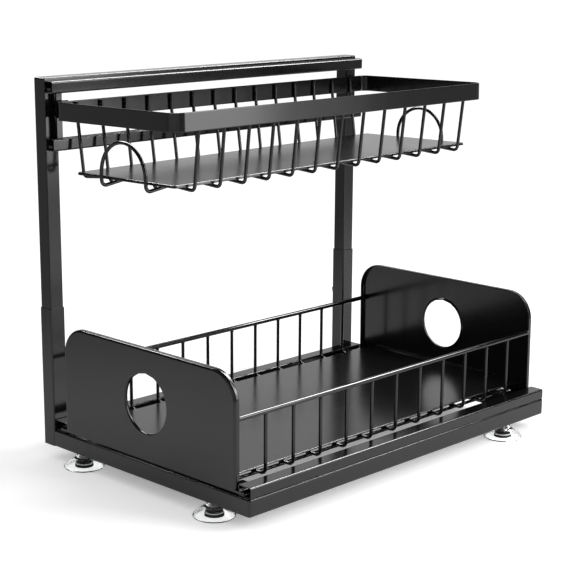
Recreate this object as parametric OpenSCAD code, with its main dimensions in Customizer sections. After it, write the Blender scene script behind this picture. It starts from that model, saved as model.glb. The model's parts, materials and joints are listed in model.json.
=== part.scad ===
// Two-tier organizer for the cupboard under a sink: a wire basket and a wire drawer that slide
// sideways on a tubular frame, with a telescoping rear frame that sets the basket's height.
// X runs along the long side, Y from the front to the rear posts, Z up from the surface.
// Modules draw with Y measured back from the front face and Z up from the base tubes' underside,
// and placed() moves them so that the origin is under the middle of the whole object.

/* [Base frame] */
// Length of the base along X
frame_w = 400; // [340:1:520]
// Depth of the base from its front face to the rear face of the posts
frame_d = 269; // [260:1:330]
// Outer size of the square base tube
tube = 15.5; // [15:0.5:18]
// Wall of every square tube
tube_wall = 0.5; // [0.4:0.1:0.8]
// Outer corner radius of every square tube
tube_r = 1.3; // [1:0.1:2]

/* [Rear posts] */
// Height of the fixed sleeves above the base's underside
sleeve_h = 127.5; // [120:0.5:160]
// Height of the telescoping posts' top above the base's underside
frame_h = 331.8; // [300:0.1:380]
// Height of the telescoping posts' lower end above the base's underside
post_end_z = 45; // [42:1:55]
// Running clearance between a post and its sleeve, on each side
post_gap = 0.15; // [0.1:0.05:0.3]
// Travel of the height adjustment, up and down from the rest height
height_travel = 30; // [10:1:30]
// Length of the plastic plugs in the tubes' ends
plug_l = 8; // [6:0.5:10]
// Clearance around a plug in its tube
plug_gap = 0.1; // [0.05:0.05:0.2]

/* [Height lock] */
// Height of the locking screws above the base's underside
lock_z = 82; // [80:0.5:86]
// Diameter of the locking screws' shank
lock_d = 5; // [4:0.5:5]
// Diameter of the locking screws' button head
lock_head_d = 9.5; // [8:0.5:11]
// Height of the button head
lock_head_t = 2.4; // [2:0.1:3]
// Hexagon socket of the button head, across its corners
lock_socket_d = 3.5; // [2:0.5:4]
// Diameter of the washer under the head
lock_washer_d = 11.5; // [10:0.5:12.5]
// Thickness of that washer
lock_washer_t = 0.8; // [0.5:0.1:1]
// Clearance of the screw in the sleeve's slot, and of the washer from the sleeve
lock_gap = 0.3; // [0.25:0.05:0.5]
// Length of the threaded insert behind the post's wall
lock_insert_l = 6; // [4:0.5:7]
// Outer diameter of that insert
lock_insert_d = 8; // [7:0.5:9]

/* [Drawer tracks] */
// Height of the two channels that carry the drawer
track_h = 9.7; // [9:0.1:12]
// Depth of those channels, front to back
track_d = 15; // [14:0.5:18]
// Wall of every channel
track_wall = 0.8; // [0.6:0.1:1]
// Inset of every channel's ends from the ends of the base
track_inset = 2; // [0:0.1:4]
// Height of the slot's lower edge above the channel's underside
track_slot_z = 1.6; // [1.2:0.1:1.8]
// Height of the slot
track_slot_h = 4; // [3.5:0.5:6]
// Outer corner radius of the channels
track_r = 1.5; // [1:0.1:2]

/* [Basket tracks] */
// Depth of the two channels that carry the basket
rail_d = 10.2; // [10.2:0.1:12]
// Height of those channels
rail_h = 10.5; // [10.5:0.1:13]
// Width of their slots
rail_slot = 4.2; // [3.8:0.1:5]
// Drop of the upper channel's top below the top of the posts
rail_drop = 2.7; // [0.5:0.1:4]
// Height from the lower channel's underside to the upper channel's top
rail_span = 60; // [56:0.1:76]

/* [Runners] */
// Travel of the drawer to either side
drawer_travel = 170; // [80:1:180]
// Travel of the basket to either side
basket_travel = 170; // [80:1:180]
// Width of a drawer runner bar
runner_w = 6.8; // [6:0.1:6.8]
// Thickness of a drawer runner bar and of the tie bars under the drawer's ends
runner_t = 2; // [2:0.1:3]
// Height of the drawer's runner bars above the tracks' underside
runner_z = 2.2; // [2.1:0.1:2.6]
// Thickness of a basket runner bar
slide_t = 2.4; // [2:0.1:2.8]
// Width of a basket runner bar
slide_w = 5.4; // [4.8:0.1:5.4]
// Length of one glide shoe
glide_l = 30; // [20:1:40]
// Running clearance between a glide and its channel
glide_gap = 0.3; // [0.25:0.05:0.4]
// Clearance between a glide and the bar inside it
glide_fit = 0.1; // [0.05:0.05:0.15]
// Distance of the outer glides' ends from the ends of their channel
glide_outer_in = 15; // [13:1:40]
// Distance of the inner glides from the middle of the bar
glide_inner_x = 60; // [40:1:90]
// Diameter of the stop rivets
stop_d = 2.6; // [2:0.1:2.8]
// Length along X of the stop lug in the middle of a bar
stop_lug_l = 12; // [8:1:20]
// Gap between the lug and a stop rivet at the end of the travel
stop_gap = 0.4; // [0.3:0.1:1]

/* [Drawer] */
// Inset of the drawer's end panels from the ends of the base
drawer_inset = 0.4; // [0:0.1:5]
// Gap between the end panels and each of the two tracks
panel_gap = 1.8; // [1:0.1:6]
// Height of the end panels
panel_h = 96.6; // [85:0.1:110]
// Thickness of the panels' sheet
panel_t = 1.5; // [1.2:0.1:2]
// Radius of the panels' upper corners
panel_top_r = 26; // [15:1:32]
// Radius of the panels' lower corners
panel_low_r = 3; // [2:0.5:5]
// Depth of the inward flange around a panel
panel_flange = 5; // [4:0.5:8]
// Radius of the finger hole in each panel
grip_r = 26.5; // [18:0.5:28]
// Height of the finger hole's middle above the panel's lower edge
grip_z = 48.5; // [42:0.5:50]
// Depth of the collar around the finger hole
grip_collar = 3; // [2:0.5:5]
// Width of the tie bars under the panels
tie_w = 5; // [4:0.5:5]
// Length of the tie bars' ears inside the tracks
tie_ear = 7; // [6:0.5:8]
// Diameter of the drawer's upper wires
top_wire_d = 4.5; // [4:0.1:5]
// Height of the upper wires' middle above the base's underside
top_wire_z = 77.8; // [65:0.1:85]
// Distance of the upper wires' middle inside the panels' front and back edges
top_wire_in = 2.5; // [1:0.1:4]
// Diameter of the drawer's thin wires
thin_wire_d = 3.1; // [2.5:0.1:3.4]
// Number of upright wires on each long side of the drawer
upright_n = 11; // [5:1:15]
// Spacing of the upright wires
upright_pitch = 32.6; // [20:0.1:36]
// Bend radius of the upright wires at their foot, at the wire's middle
upright_bend = 5; // [3.8:0.1:7]
// Length of the uprights' inward run beneath the floor plate
upright_run = 34; // [25:1:50]
// Height of that run's middle above the panels' lower edge
upright_rise = 4.3; // [4:0.1:6]
// Distance of the foot wires, which lie beneath the runs, from the uprights' middle
foot_wire_in = 14.5; // [8:0.1:20]
// Thickness of every floor plate
plate_t = 1; // [0.8:0.1:1.5]
// Depth of the downward lip around the drawer's floor plate
drawer_lip = 1.4; // [1.4:0.1:4]
// Gap between the upright wires' middle and the floor plate's edge
drawer_plate_gap = 11; // [10:0.1:16]
// Corner radius of the floor plates
plate_r = 2.5; // [2:0.5:8]

/* [Basket] */
// Inset of the basket's rim from the ends of the base
rim_inset = 2.2; // [1:0.1:12]
// Depth of the basket's rim
rim_d = 156; // [130:0.1:160]
// Height of the rim band
rim_h = 15.8; // [13:0.1:18]
// Thickness of the rim band
rim_t = 1.2; // [1:0.1:2]
// Corner radius of the rim
rim_r = 9; // [6:0.5:15]
// Height of the rim band's lower edge above the lower basket track's underside
rim_rise = 29; // [24:0.1:32]
// Gap between the rim and the basket tracks' front faces
rim_back_gap = 1.2; // [1:0.1:4]
// Diameter of the basket's side wires
basket_wire_d = 3.1; // [2.8:0.1:4]
// Number of wires on the basket's front side
front_wire_n = 13; // [7:1:15]
// Number of wires on the basket's back side
back_wire_n = 14; // [7:1:15]
// Distance of the outermost wires on the front side from the rim's ends
front_wire_end = 27; // [14:0.1:40]
// Distance of the outermost wires on the back side from the rim's ends
back_wire_end = 21.2; // [14:0.1:40]
// Bend radius of those wires at their foot, at the wire's middle
basket_wire_bend = 4.5; // [4:0.5:9]
// Lean of the front wires from the rim in to their foot
front_lean = 6.6; // [0:0.1:9]
// Lean of the back wires from the rim in to their foot
back_lean = 6; // [0:0.1:9]
// Length of the wires' inward run beneath the floor plate
basket_run = 22; // [14:1:40]
// Depth from the rim's lower edge to the basket floor's upper face
basket_depth = 44; // [38:0.1:55]
// Inset of the floor plate from the rim's ends
basket_floor_in = 9.8; // [7:0.1:14]
// Distance of the floor plate's front edge from the end of the front wires' bends
basket_front_inset = 0; // [0:0.1:8]
// Distance of the floor plate's back edge from the end of the back wires' bends
basket_back_inset = 1.5; // [0:0.1:8]
// Depth of the downward lip around the basket's floor plate
basket_lip = 2.5; // [2:0.1:3.5]
// Clearance left at every weld between a wire and its seat
weld_gap = 0.1; // [0.05:0.05:0.2]
// Extra diameter of the wires where a straight stretch runs into a bend
wire_bead = 0.1; // [0.05:0.01:0.15]

/* [Basket handles] */
// Diameter of the arched end wires
arch_d = 3.3; // [3:0.1:5]
// Distance between the middles of an arch's legs
arch_w = 54; // [40:1:70]
// Height of an arch's top above the floor plate
arch_rise = 34; // [25:0.1:36]
// Clearance between the floor plate's lower corner and the bend of an arch
arch_gap = 0.1; // [0.05:0.05:0.5]
// Distance from the rim's front face to the middle of an arch
arch_y = 72; // [55:0.5:90]
// Bend radius of an arch at its foot, at the wire's middle
arch_bend = 4.5; // [4:0.5:8]
// Length of an arch's inward run beneath the floor plate
arch_run = 30; // [15:1:60]

/* [Hangers] */
// Distance of the hanger strips' middle from the rim's ends
hanger_in = 9.8; // [8:0.1:16]
// Width of a hanger strip
hanger_w = 5.8; // [4:0.1:6]
// Thickness of a hanger strip
hanger_t = 2; // [1.5:0.1:2.5]
// Distance of the hanger screws from the hanger strips' middle
hanger_screw_in = 6; // [5:0.1:6.6]
// Height of the hangers' screw tabs
hanger_tab_h = 12; // [9:0.5:13]
// Outer diameter of the spacers between the rim and the tabs
spacer_d = 7.4; // [6:0.1:8]
// Shank diameter of the hanger screws
hanger_screw_d = 4; // [3:0.5:4]
// Head diameter of the hanger screws
hanger_head_d = 7; // [6:0.5:7]
// Head height of the hanger screws
hanger_head_t = 2.2; // [1.6:0.1:2.6]
// Thickness of the hanger screws' nuts
hanger_nut_t = 2.4; // [2:0.1:2.6]
// Clearance around a shank in its hole
shank_gap = 0.15; // [0.1:0.05:0.3]

/* [Suction feet] */
// Height of the feet beneath the base tubes
foot_h = 13; // [11:0.5:18]
// Diameter of a foot's cup
foot_d = 35; // [30:0.5:42]
// Diameter of a foot's neck
foot_neck_d = 14.3; // [12:0.1:14.5]
// Diameter of the collar between neck and cup
foot_collar_d = 17.5; // [16:0.5:20]
// Height of the collar's upper edge above the surface
foot_collar_z = 6.6; // [6:0.1:7.5]
// Thickness of the cup's wall
foot_cup_t = 1.2; // [1:0.1:1.6]
// Width of the flat ring on which a cup stands
foot_lip = 3; // [2:0.5:4]
// Distance of the front left foot from the base's front face
foot_front_y = 49.5; // [30:0.5:80]
// Distance of the back left foot from the base's rear face
foot_back_y = 48; // [30:0.5:80]
// Distance of the right feet from the base's right end
foot_right_x = 54; // [25:1:90]
// Diameter of the feet's studs
stud_d = 4; // [3:0.5:5]
// Height of the studs above the base's underside
stud_top = 6; // [5:0.5:8]
// Height of the studs' lower end above the surface
stud_low = 7; // [6.5:0.5:8]
// Width across the corners of the studs' nuts
stud_nut_d = 8; // [6:0.5:9]
// Thickness of the studs' nuts
stud_nut_t = 3.2; // [2.5:0.1:4]

/* [Hidden] */
$fn = 48;

// Extra length of a cutting shape past the face that it cuts
cut = 1;

// Colours of the finishes
black_coat = [0.12, 0.12, 0.12];
wire_coat = [0.08, 0.08, 0.08];
clear_rubber = [0.8, 0.8, 0.8];
zinc = [0.6, 0.6, 0.6];
black_plastic = [0.05, 0.05, 0.05];

// Base frame
x_end = frame_w / 2;
back_stack = lock_gap + lock_washer_t + lock_head_t;
foot_out = (foot_d - tube) / 2;
x_shift = foot_out / 2;
y_front = -(frame_d + max(back_stack, foot_out) - foot_out) / 2;
rail_l = frame_d - tube;

// Posts
post = tube - 2 * tube_wall - 2 * post_gap;
post_inset = (tube - post) / 2;
post_y = frame_d - post_inset - post;
sleeve_inner = tube - 2 * tube_wall;
tube_in_r = max(tube_r - tube_wall, 0.2);

// Drawer tracks
track_z = tube;
back_track_y = frame_d - tube - track_d;
track_l = frame_w - 2 * track_inset;
runner_low = track_z + runner_z;
runner_inset = track_wall + glide_gap + runner_wall();
glide_lane = runner_w + 2 * runner_wall();
stop_lane = track_d - 2 * track_wall - glide_gap - glide_lane;
glide_outer_x = track_l / 2 - glide_outer_in - glide_l / 2;
drawer_stop_x = drawer_travel + (stop_lug_l + stop_d) / 2 + stop_gap;

// Basket tracks
rail_y = post_y - rail_d;
rail_mid_y = rail_y + rail_d / 2;
rail_top_z = frame_h - rail_drop;
rail_up_z = rail_top_z - rail_h;
rail_low_z = rail_top_z - rail_span;
slide_up_z = rail_up_z + track_wall + glide_gap + runner_wall();
slide_low_z = rail_low_z + track_wall + glide_gap + runner_wall();
slide_l = track_l;
basket_stop_x = basket_travel + (stop_lug_l + stop_d) / 2 + stop_gap;
basket_stop_z = rail_top_z - track_wall - glide_gap - stop_d / 2;

// Drawer
drawer_w = frame_w - 2 * drawer_inset;
panel_y = track_d + panel_gap;
panel_d = back_track_y - panel_gap - panel_y;
panel_z = runner_low + runner_t;
panel_in_x = drawer_w / 2 - panel_flange;
drawer_mid_y = panel_y + panel_d / 2;
top_wire_reach = panel_d / 2 - top_wire_in;
thin_r = thin_wire_d / 2;
upright_foot_z = panel_z + upright_rise;
foot_wire_reach = top_wire_reach - foot_wire_in;
foot_wire_z = upright_foot_z - thin_wire_d - weld_gap;
drawer_lip_z = upright_foot_z + thin_r + weld_gap;
drawer_floor_z = drawer_lip_z + drawer_lip;
drawer_floor_reach = top_wire_reach - drawer_plate_gap;

// Basket
rim_w = frame_w - 2 * rim_inset;
rim_z = rail_low_z + rim_rise;
rim_back = rail_y - rim_back_gap;
rim_front = rim_back - rim_d;
wire_in = rim_t + weld_gap + basket_wire_d / 2;
wire_front_y = rim_front + wire_in;
wire_back_y = rim_back - wire_in;
basket_floor_w = rim_w - 2 * basket_floor_in;
basket_floor_z = rim_z - basket_depth;
basket_lip_z = basket_floor_z - basket_lip;
basket_foot_z = basket_lip_z - weld_gap - basket_wire_d / 2;
floor_front = wire_front_y + front_lean + basket_wire_bend + basket_front_inset;
floor_back = wire_back_y - back_lean - basket_wire_bend - basket_back_inset;
arch_in_r = arch_bend - arch_d / 2;
arch_corner = arch_in_r - sqrt(weld_gap * (2 * arch_in_r - weld_gap));
arch_x = basket_floor_w / 2 + arch_corner + arch_gap + arch_d / 2;
arch_foot_z = basket_lip_z - weld_gap - arch_d / 2;
arch_mid_y = rim_front + arch_y;
arch_top_z = basket_floor_z + arch_rise - arch_d / 2;
hanger_x = rim_w / 2 - hanger_in;
hanger_screw_x = hanger_x - hanger_screw_in;
tab_y = rail_mid_y - hanger_t / 2;
rim_mid_z = rim_z + rim_h / 2;

// Feet, each as a place along X and Y
foot_places = [
    [-x_end + tube / 2, foot_front_y],
    [-x_end + tube / 2, frame_d - foot_back_y],
    [x_end - foot_right_x, tube / 2],
    [x_end - foot_right_x, frame_d - tube / 2]
];

// Wall of a glide between its bar and its channel
function runner_wall() = 1.3;

function unit(v) = v / norm(v);

// A vector square to v
function side_of(v) = abs(v[2]) < 0.9 ? unit(cross(v, [0, 0, 1])) : unit(cross(v, [1, 0, 0]));

// Length that a bend takes from each of the two straights it joins
function bend_take(a, b, r) = r * tan(acos(min(1, max(-1, a * b))) / 2);

// Places a module's shape in the part's own frame
module placed() {
    translate([x_shift, y_front, foot_h]) children();
}

// Rectangle with its low corner at the origin and round corners
module round_rect(w, h, r) {
    translate([r, 0]) square([w - 2 * r, h]);
    translate([0, r]) square([w, h - 2 * r]);
    for (x = [r, w - r], y = [r, h - r]) {
        translate([x, y]) circle(r);
    }
}

// Section of a square tube with its low corner at the origin
module tube_section(size) {
    difference() {
        round_rect(size, size, tube_r);
        translate([tube_wall, tube_wall])
            round_rect(size - 2 * tube_wall, size - 2 * tube_wall, tube_in_r);
    }
}

// Shape extruded along X from x0, its first axis along Y and its second along Z
module along_x(x0, length) {
    translate([x0, 0, 0]) rotate([90, 0, 90]) linear_extrude(length) children();
}

// Shape extruded along Y from y0, its first axis along X and its second along Z
module along_y(y0, length) {
    translate([0, y0 + length, 0]) rotate([90, 0, 0]) linear_extrude(length) children();
}

// Half-space block behind the diagonal through the origin, for a mitre in the XY plane
module mitre_block(size) {
    rotate([0, 0, 45]) translate([-size * 2, 0, -cut]) cube([size * 4, size * 2, size + 2 * cut]);
}

// Copies the left shape to the right side too
module both_ends() {
    children();
    mirror([1, 0, 0]) children();
}

// Round wire through points, with each corner bent to radius r. A wire with slanting stretches
// has a small weld bead, wider than the wire by bead, where a straight and a bend meet.
module wire(points, d, r, bead = 0) {
    last = len(points) - 1;
    dirs = [for (i = [0:last - 1]) unit(points[i + 1] - points[i])];
    takes = [for (i = [0:last]) i == 0 || i == last ? 0 : bend_take(dirs[i - 1], dirs[i], r)];
    for (i = [0:last - 1]) {
        straight(points[i] + dirs[i] * takes[i], points[i + 1] - dirs[i] * takes[i + 1], d);
    }
    for (i = [1:1:last - 1]) {
        from = points[i] - dirs[i - 1] * takes[i];
        bend(from, dirs[i - 1], dirs[i], d, r);
        if (bead > 0) {
            translate(from) sphere(d = d + bead, $fn = 24);
            translate(points[i] + dirs[i] * takes[i]) sphere(d = d + bead, $fn = 24);
        }
    }
}

// Straight round bar from a to b
module straight(a, b, d) {
    z = unit(b - a);
    x = side_of(z);
    y = cross(z, x);
    multmatrix([
        [x[0], y[0], z[0], a[0]],
        [x[1], y[1], z[1], a[1]],
        [x[2], y[2], z[2], a[2]]
    ]) cylinder(h = norm(b - a), d = d, $fn = 24);
}

// Arc of a round bar that starts at a and turns from direction u to direction v
module bend(a, u, v, d, r) {
    n = unit(cross(u, v));
    x = -cross(n, u);
    c = a - x * r;
    multmatrix([
        [x[0], u[0], n[0], c[0]],
        [x[1], u[1], n[1], c[1]],
        [x[2], u[2], n[2], c[2]]
    ]) rotate_extrude(angle = acos(u * v), $fn = 48) translate([r, 0]) circle(d = d, $fn = 24);
}

// Base tubes

// Side rail at the left, mitred at the front, with holes for studs at the given places along Y
module side_rail(hole_ys) {
    difference() {
        translate([-x_end, 0, 0]) along_y(0, rail_l) tube_section(tube);
        translate([-x_end, 0, 0]) mirror([-1, 1, 0]) mitre_block(tube);
        for (y = hole_ys) {
            translate([-x_end + tube / 2, y, 0]) stud_hole();
        }
    }
}

// Hole for a foot's stud through a tube's lower wall
module stud_hole() {
    translate([0, 0, -cut]) cylinder(h = tube_wall + 2 * cut, d = stud_d + 2 * shank_gap);
}

module left_side_rail() {
    color(black_coat) placed() side_rail([foot_places[0][1], foot_places[1][1]]);
}

module right_side_rail() {
    color(black_coat) placed() mirror([1, 0, 0]) side_rail([]);
}

module front_cross_tube() {
    color(black_coat) placed() difference() {
        along_x(-x_end, frame_w) tube_section(tube);
        both_ends() translate([-x_end, 0, 0]) mitre_block(tube);
        translate([foot_places[2][0], foot_places[2][1], 0]) stud_hole();
    }
}

module back_cross_tube() {
    color(black_coat) placed() difference() {
        translate([0, frame_d - tube, 0]) along_x(-x_end + tube, frame_w - 2 * tube) tube_section(tube);
        translate([foot_places[3][0], foot_places[3][1], 0]) stud_hole();
    }
}

// Rear sleeves

// Vertical slot with round ends through the sleeve's rear wall
module lock_slot() {
    slot_d = lock_d + 2 * lock_gap;
    translate([0, frame_d + cut, lock_z]) rotate([90, 0, 0]) linear_extrude(tube_wall + 2 * cut) {
        for (s = [-1, 1]) {
            translate([0, s * height_travel]) circle(d = slot_d);
        }
        translate([-slot_d / 2, -height_travel]) square([slot_d, 2 * height_travel]);
    }
}

module sleeve_post() {
    difference() {
        translate([-x_end, frame_d - tube, 0]) linear_extrude(sleeve_h) tube_section(tube);
        translate([-x_end + tube / 2, 0, 0]) lock_slot();
    }
}

module left_sleeve_post() {
    color(black_coat) placed() sleeve_post();
}

module right_sleeve_post() {
    color(black_coat) placed() mirror([1, 0, 0]) sleeve_post();
}

// Plug that fills a square tube of the given inner size over plug_l
module tube_plug(inner) {
    size = inner - 2 * plug_gap;
    linear_extrude(plug_l) translate([-size / 2, -size / 2]) round_rect(size, size, tube_in_r);
}

module sleeve_plugs() {
    color(black_plastic) placed() both_ends()
        translate([-x_end + tube / 2, frame_d - tube / 2, 0]) tube_plug(sleeve_inner);
}

// Drawer tracks

// Section of a drawer track, its slot facing the drawer at the high end of the first axis
module track_section() {
    difference() {
        round_rect(track_d, track_h, track_r);
        translate([track_wall, track_wall])
            square([track_d - 2 * track_wall, track_h - 2 * track_wall]);
        translate([track_d / 2, track_slot_z]) square([track_d, track_slot_h]);
    }
}

module front_track() {
    color(black_coat) placed() translate([0, 0, track_z]) along_x(-track_l / 2, track_l) track_section();
}

module back_track() {
    color(black_coat) placed() translate([0, back_track_y + track_d, track_z])
        mirror([0, 1, 0]) along_x(-track_l / 2, track_l) track_section();
}

// Rivets across the tracks, which the runners' lugs meet at the end of the travel
module drawer_stop_rivets() {
    lane_y = track_wall + stop_lane / 2;
    color(zinc) placed() both_ends() for (y = [lane_y, back_track_y + track_d - lane_y]) {
        translate([-drawer_stop_x, y, track_z + track_wall])
            cylinder(h = track_h - 2 * track_wall, d = stop_d);
    }
}

// Suction feet

// Foot with its axis on Z, from the surface up to the tube
module foot() {
    cup_r = foot_d / 2;
    neck_r = foot_neck_d / 2;
    collar_r = foot_collar_d / 2;
    cup_top = foot_collar_z - 2;
    bore_r = stud_d / 2 + plug_gap;
    rotate_extrude() polygon([
        [cup_r - foot_lip - 0.5, 0], [cup_r - 0.5, 0], [cup_r, 0.5], [cup_r, foot_cup_t],
        [collar_r, cup_top], [collar_r, foot_collar_z], [neck_r, foot_collar_z], [neck_r, foot_h],
        [bore_r, foot_h], [bore_r, stud_low - plug_gap], [0, stud_low - plug_gap],
        [0, cup_top - foot_cup_t], [collar_r, cup_top - foot_cup_t]
    ]);
}

module foot_at(i) {
    color(clear_rubber) placed() translate([foot_places[i][0], foot_places[i][1], -foot_h]) foot();
}

module front_left_foot() {
    foot_at(0);
}

module back_left_foot() {
    foot_at(1);
}

module front_right_foot() {
    foot_at(2);
}

module back_right_foot() {
    foot_at(3);
}

module foot_studs() {
    color(zinc) placed() for (p = foot_places) {
        translate([p[0], p[1], stud_low - foot_h]) cylinder(h = foot_h - stud_low + stud_top, d = stud_d);
    }
}

module foot_nuts() {
    color(zinc) placed() for (p = foot_places) {
        translate([p[0], p[1], tube_wall]) difference() {
            cylinder(h = stud_nut_t, d = stud_nut_d, $fn = 6);
            translate([0, 0, -cut]) cylinder(h = stud_nut_t + 2 * cut, d = stud_d + 2 * plug_gap);
        }
    }
}

// Telescoping frame

// Hole for the threaded insert through a post's rear wall
module insert_hole() {
    translate([-x_end + tube / 2, frame_d, lock_z]) rotate([90, 0, 0])
        cylinder(h = post_inset + tube_wall + cut, d = lock_insert_d + 2 * plug_gap);
}

module inner_post() {
    difference() {
        translate([-x_end + post_inset, post_y, post_end_z])
            linear_extrude(frame_h - post_end_z) tube_section(post);
        insert_hole();
        top_mitre(0);
    }
}

// Block on the upper or lower side of the diagonal at the rear frame's top left corner, which
// leaves the post or the cross tube its mitre. Its low face stands at the given height.
module top_mitre(low) {
    translate([-x_end + post_inset, post_y - cut, frame_h]) rotate([0, 45, 0])
        translate([-post * 2, 0, low]) cube([post * 4, post + 2 * cut, post * 2]);
}

module left_inner_post() {
    color(black_coat) placed() inner_post();
}

module right_inner_post() {
    color(black_coat) placed() mirror([1, 0, 0]) inner_post();
}

// Cross tube between the posts, mitred to them at both ends
module top_cross_tube() {
    color(black_coat) placed() difference() {
        translate([0, post_y, frame_h - post])
            along_x(-x_end + post_inset, frame_w - 2 * post_inset) tube_section(post);
        both_ends() top_mitre(-post * 2);
    }
}

module post_plugs() {
    color(black_plastic) placed() both_ends()
        translate([-x_end + tube / 2, frame_d - tube / 2, post_end_z])
            tube_plug(post - 2 * tube_wall);
}

// Basket tracks

// Section of a basket track with its slot at the top
module rail_section() {
    difference() {
        round_rect(rail_d, rail_h, track_r);
        translate([track_wall, track_wall])
            square([rail_d - 2 * track_wall, rail_h - 2 * track_wall]);
        translate([(rail_d - rail_slot) / 2, rail_h / 2]) square([rail_slot, rail_h]);
    }
}

module upper_rail() {
    color(black_coat) placed() translate([0, rail_y, rail_top_z]) mirror([0, 0, 1])
        along_x(-track_l / 2, track_l) rail_section();
}

module lower_rail() {
    color(black_coat) placed() translate([0, rail_y, rail_low_z])
        along_x(-track_l / 2, track_l) rail_section();
}

// Rivets across the upper basket track, which the slide bar's lug meets
module basket_stop_rivets() {
    color(zinc) placed() both_ends()
        translate([-basket_stop_x, rail_y + rail_d - track_wall, basket_stop_z])
            rotate([90, 0, 0]) cylinder(h = rail_d - 2 * track_wall, d = stop_d);
}

// Height lock

// Screws with a hexagon socket, through the sleeves' slots into the inserts
module lock_screws() {
    head_y = frame_d + lock_gap + lock_washer_t;
    color(zinc) placed() both_ends() translate([-x_end + tube / 2, head_y, lock_z]) rotate([90, 0, 0]) {
        difference() {
            translate([0, 0, -lock_head_t]) cylinder(h = lock_head_t, d = lock_head_d);
            translate([0, 0, -lock_head_t - cut])
                cylinder(h = lock_head_t / 2 + cut, d = lock_socket_d, $fn = 6);
        }
        cylinder(h = lock_washer_t + lock_gap + post_inset + lock_insert_l, d = lock_d);
    }
}

module lock_washers() {
    color(zinc) placed() both_ends()
        translate([-x_end + tube / 2, frame_d + lock_gap + lock_washer_t, lock_z])
            rotate([90, 0, 0]) difference() {
                cylinder(h = lock_washer_t, d = lock_washer_d);
                translate([0, 0, -cut])
                    cylinder(h = lock_washer_t + 2 * cut, d = lock_d + 2 * shank_gap);
            }
}

// Threaded inserts set in the posts' rear walls
module lock_inserts() {
    color(zinc) placed() both_ends()
        translate([-x_end + tube / 2, frame_d - post_inset, lock_z]) rotate([90, 0, 0]) difference() {
            cylinder(h = lock_insert_l, d = lock_insert_d);
            translate([0, 0, -cut]) cylinder(h = lock_insert_l + 2 * cut, d = lock_d + 2 * plug_gap);
        }
}

// Basket

module basket_rim() {
    color(black_coat) placed() difference() {
        translate([-rim_w / 2, rim_front, rim_z]) linear_extrude(rim_h) difference() {
            round_rect(rim_w, rim_d, rim_r);
            translate([rim_t, rim_t]) round_rect(rim_w - 2 * rim_t, rim_d - 2 * rim_t, rim_r - rim_t);
        }
        both_ends() translate([-hanger_screw_x, rim_back + cut, rim_mid_z]) rotate([90, 0, 0])
            cylinder(h = rim_t + 2 * cut, d = hanger_screw_d + 2 * shank_gap);
    }
}

// Sheet with a lip turned down all round, its upper face at z = 0
module lipped_plate(w, d, lip) {
    difference() {
        translate([-w / 2, 0, -lip]) linear_extrude(lip) round_rect(w, d, plate_r);
        translate([-w / 2 + plate_t, plate_t, -lip - cut]) linear_extrude(lip - plate_t + cut)
            round_rect(w - 2 * plate_t, d - 2 * plate_t, plate_r - plate_t);
    }
}

module basket_floor() {
    color(black_coat) placed() translate([0, floor_front, basket_floor_z])
        lipped_plate(basket_floor_w, floor_back - floor_front, basket_lip);
}

// Side wires that hang inside the rim and turn in beneath the floor plate
module basket_wires(y0, lean, n, end) {
    foot_y = y0 + lean;
    way = sign(lean);
    x0 = -rim_w / 2 + end;
    pitch = -2 * x0 / (n - 1);
    for (i = [0:n - 1]) {
        translate([x0 + i * pitch, 0, 0]) {
            straight([0, y0, rim_z], [0, y0, rim_z + rim_h - 1], basket_wire_d);
            translate([0, y0, rim_z]) sphere(d = basket_wire_d + wire_bead, $fn = 24);
            wire([
                [0, y0, rim_z],
                [0, foot_y, basket_foot_z],
                [0, foot_y + way * basket_run, basket_foot_z]
            ], basket_wire_d, basket_wire_bend, wire_bead);
        }
    }
}

module basket_front_wires() {
    color(wire_coat) placed() basket_wires(wire_front_y, front_lean, front_wire_n, front_wire_end);
}

module basket_back_wires() {
    color(wire_coat) placed() basket_wires(wire_back_y, -back_lean, back_wire_n, back_wire_end);
}

// End wire bent to a half-round arch, its feet turned in beneath the floor plate
module arch() {
    r = arch_w / 2;
    spring_z = arch_top_z - r;
    for (s = [-1, 1]) {
        wire([
            [-arch_x, arch_mid_y + s * r, spring_z],
            [-arch_x, arch_mid_y + s * r, arch_foot_z],
            [-arch_x + arch_run, arch_mid_y + s * r, arch_foot_z]
        ], arch_d, arch_bend);
    }
    bend([-arch_x, arch_mid_y - r, spring_z], [0, 0, 1], [0, 1, 0], arch_d, r);
    bend([-arch_x, arch_mid_y, arch_top_z], [0, 1, 0], [0, 0, -1], arch_d, r);
}

module left_arch() {
    color(wire_coat) placed() arch();
}

module right_arch() {
    color(wire_coat) placed() mirror([1, 0, 0]) arch();
}

// Strip that hangs the basket between its two slide bars, with a tab for the rim's screw
module hanger() {
    low = slide_low_z + slide_t;
    tab_l = hanger_x - hanger_screw_x + spacer_d / 2;
    difference() {
        union() {
            translate([-hanger_x - hanger_w / 2, tab_y, low])
                cube([hanger_w, hanger_t, slide_up_z - low]);
            translate([-hanger_x, tab_y, rim_mid_z - hanger_tab_h / 2])
                cube([tab_l, hanger_t, hanger_tab_h]);
        }
        translate([-hanger_screw_x, tab_y + hanger_t + cut, rim_mid_z]) rotate([90, 0, 0])
            cylinder(h = hanger_t + 2 * cut, d = hanger_screw_d + 2 * shank_gap);
    }
}

module left_hanger() {
    color(black_coat) placed() hanger();
}

module right_hanger() {
    color(black_coat) placed() mirror([1, 0, 0]) hanger();
}

module hanger_spacers() {
    color(black_coat) placed() both_ends()
        translate([-hanger_screw_x, tab_y, rim_mid_z]) rotate([90, 0, 0]) difference() {
            cylinder(h = tab_y - rim_back, d = spacer_d);
            translate([0, 0, -cut])
                cylinder(h = tab_y - rim_back + 2 * cut, d = hanger_screw_d + 2 * shank_gap);
        }
}

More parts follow.
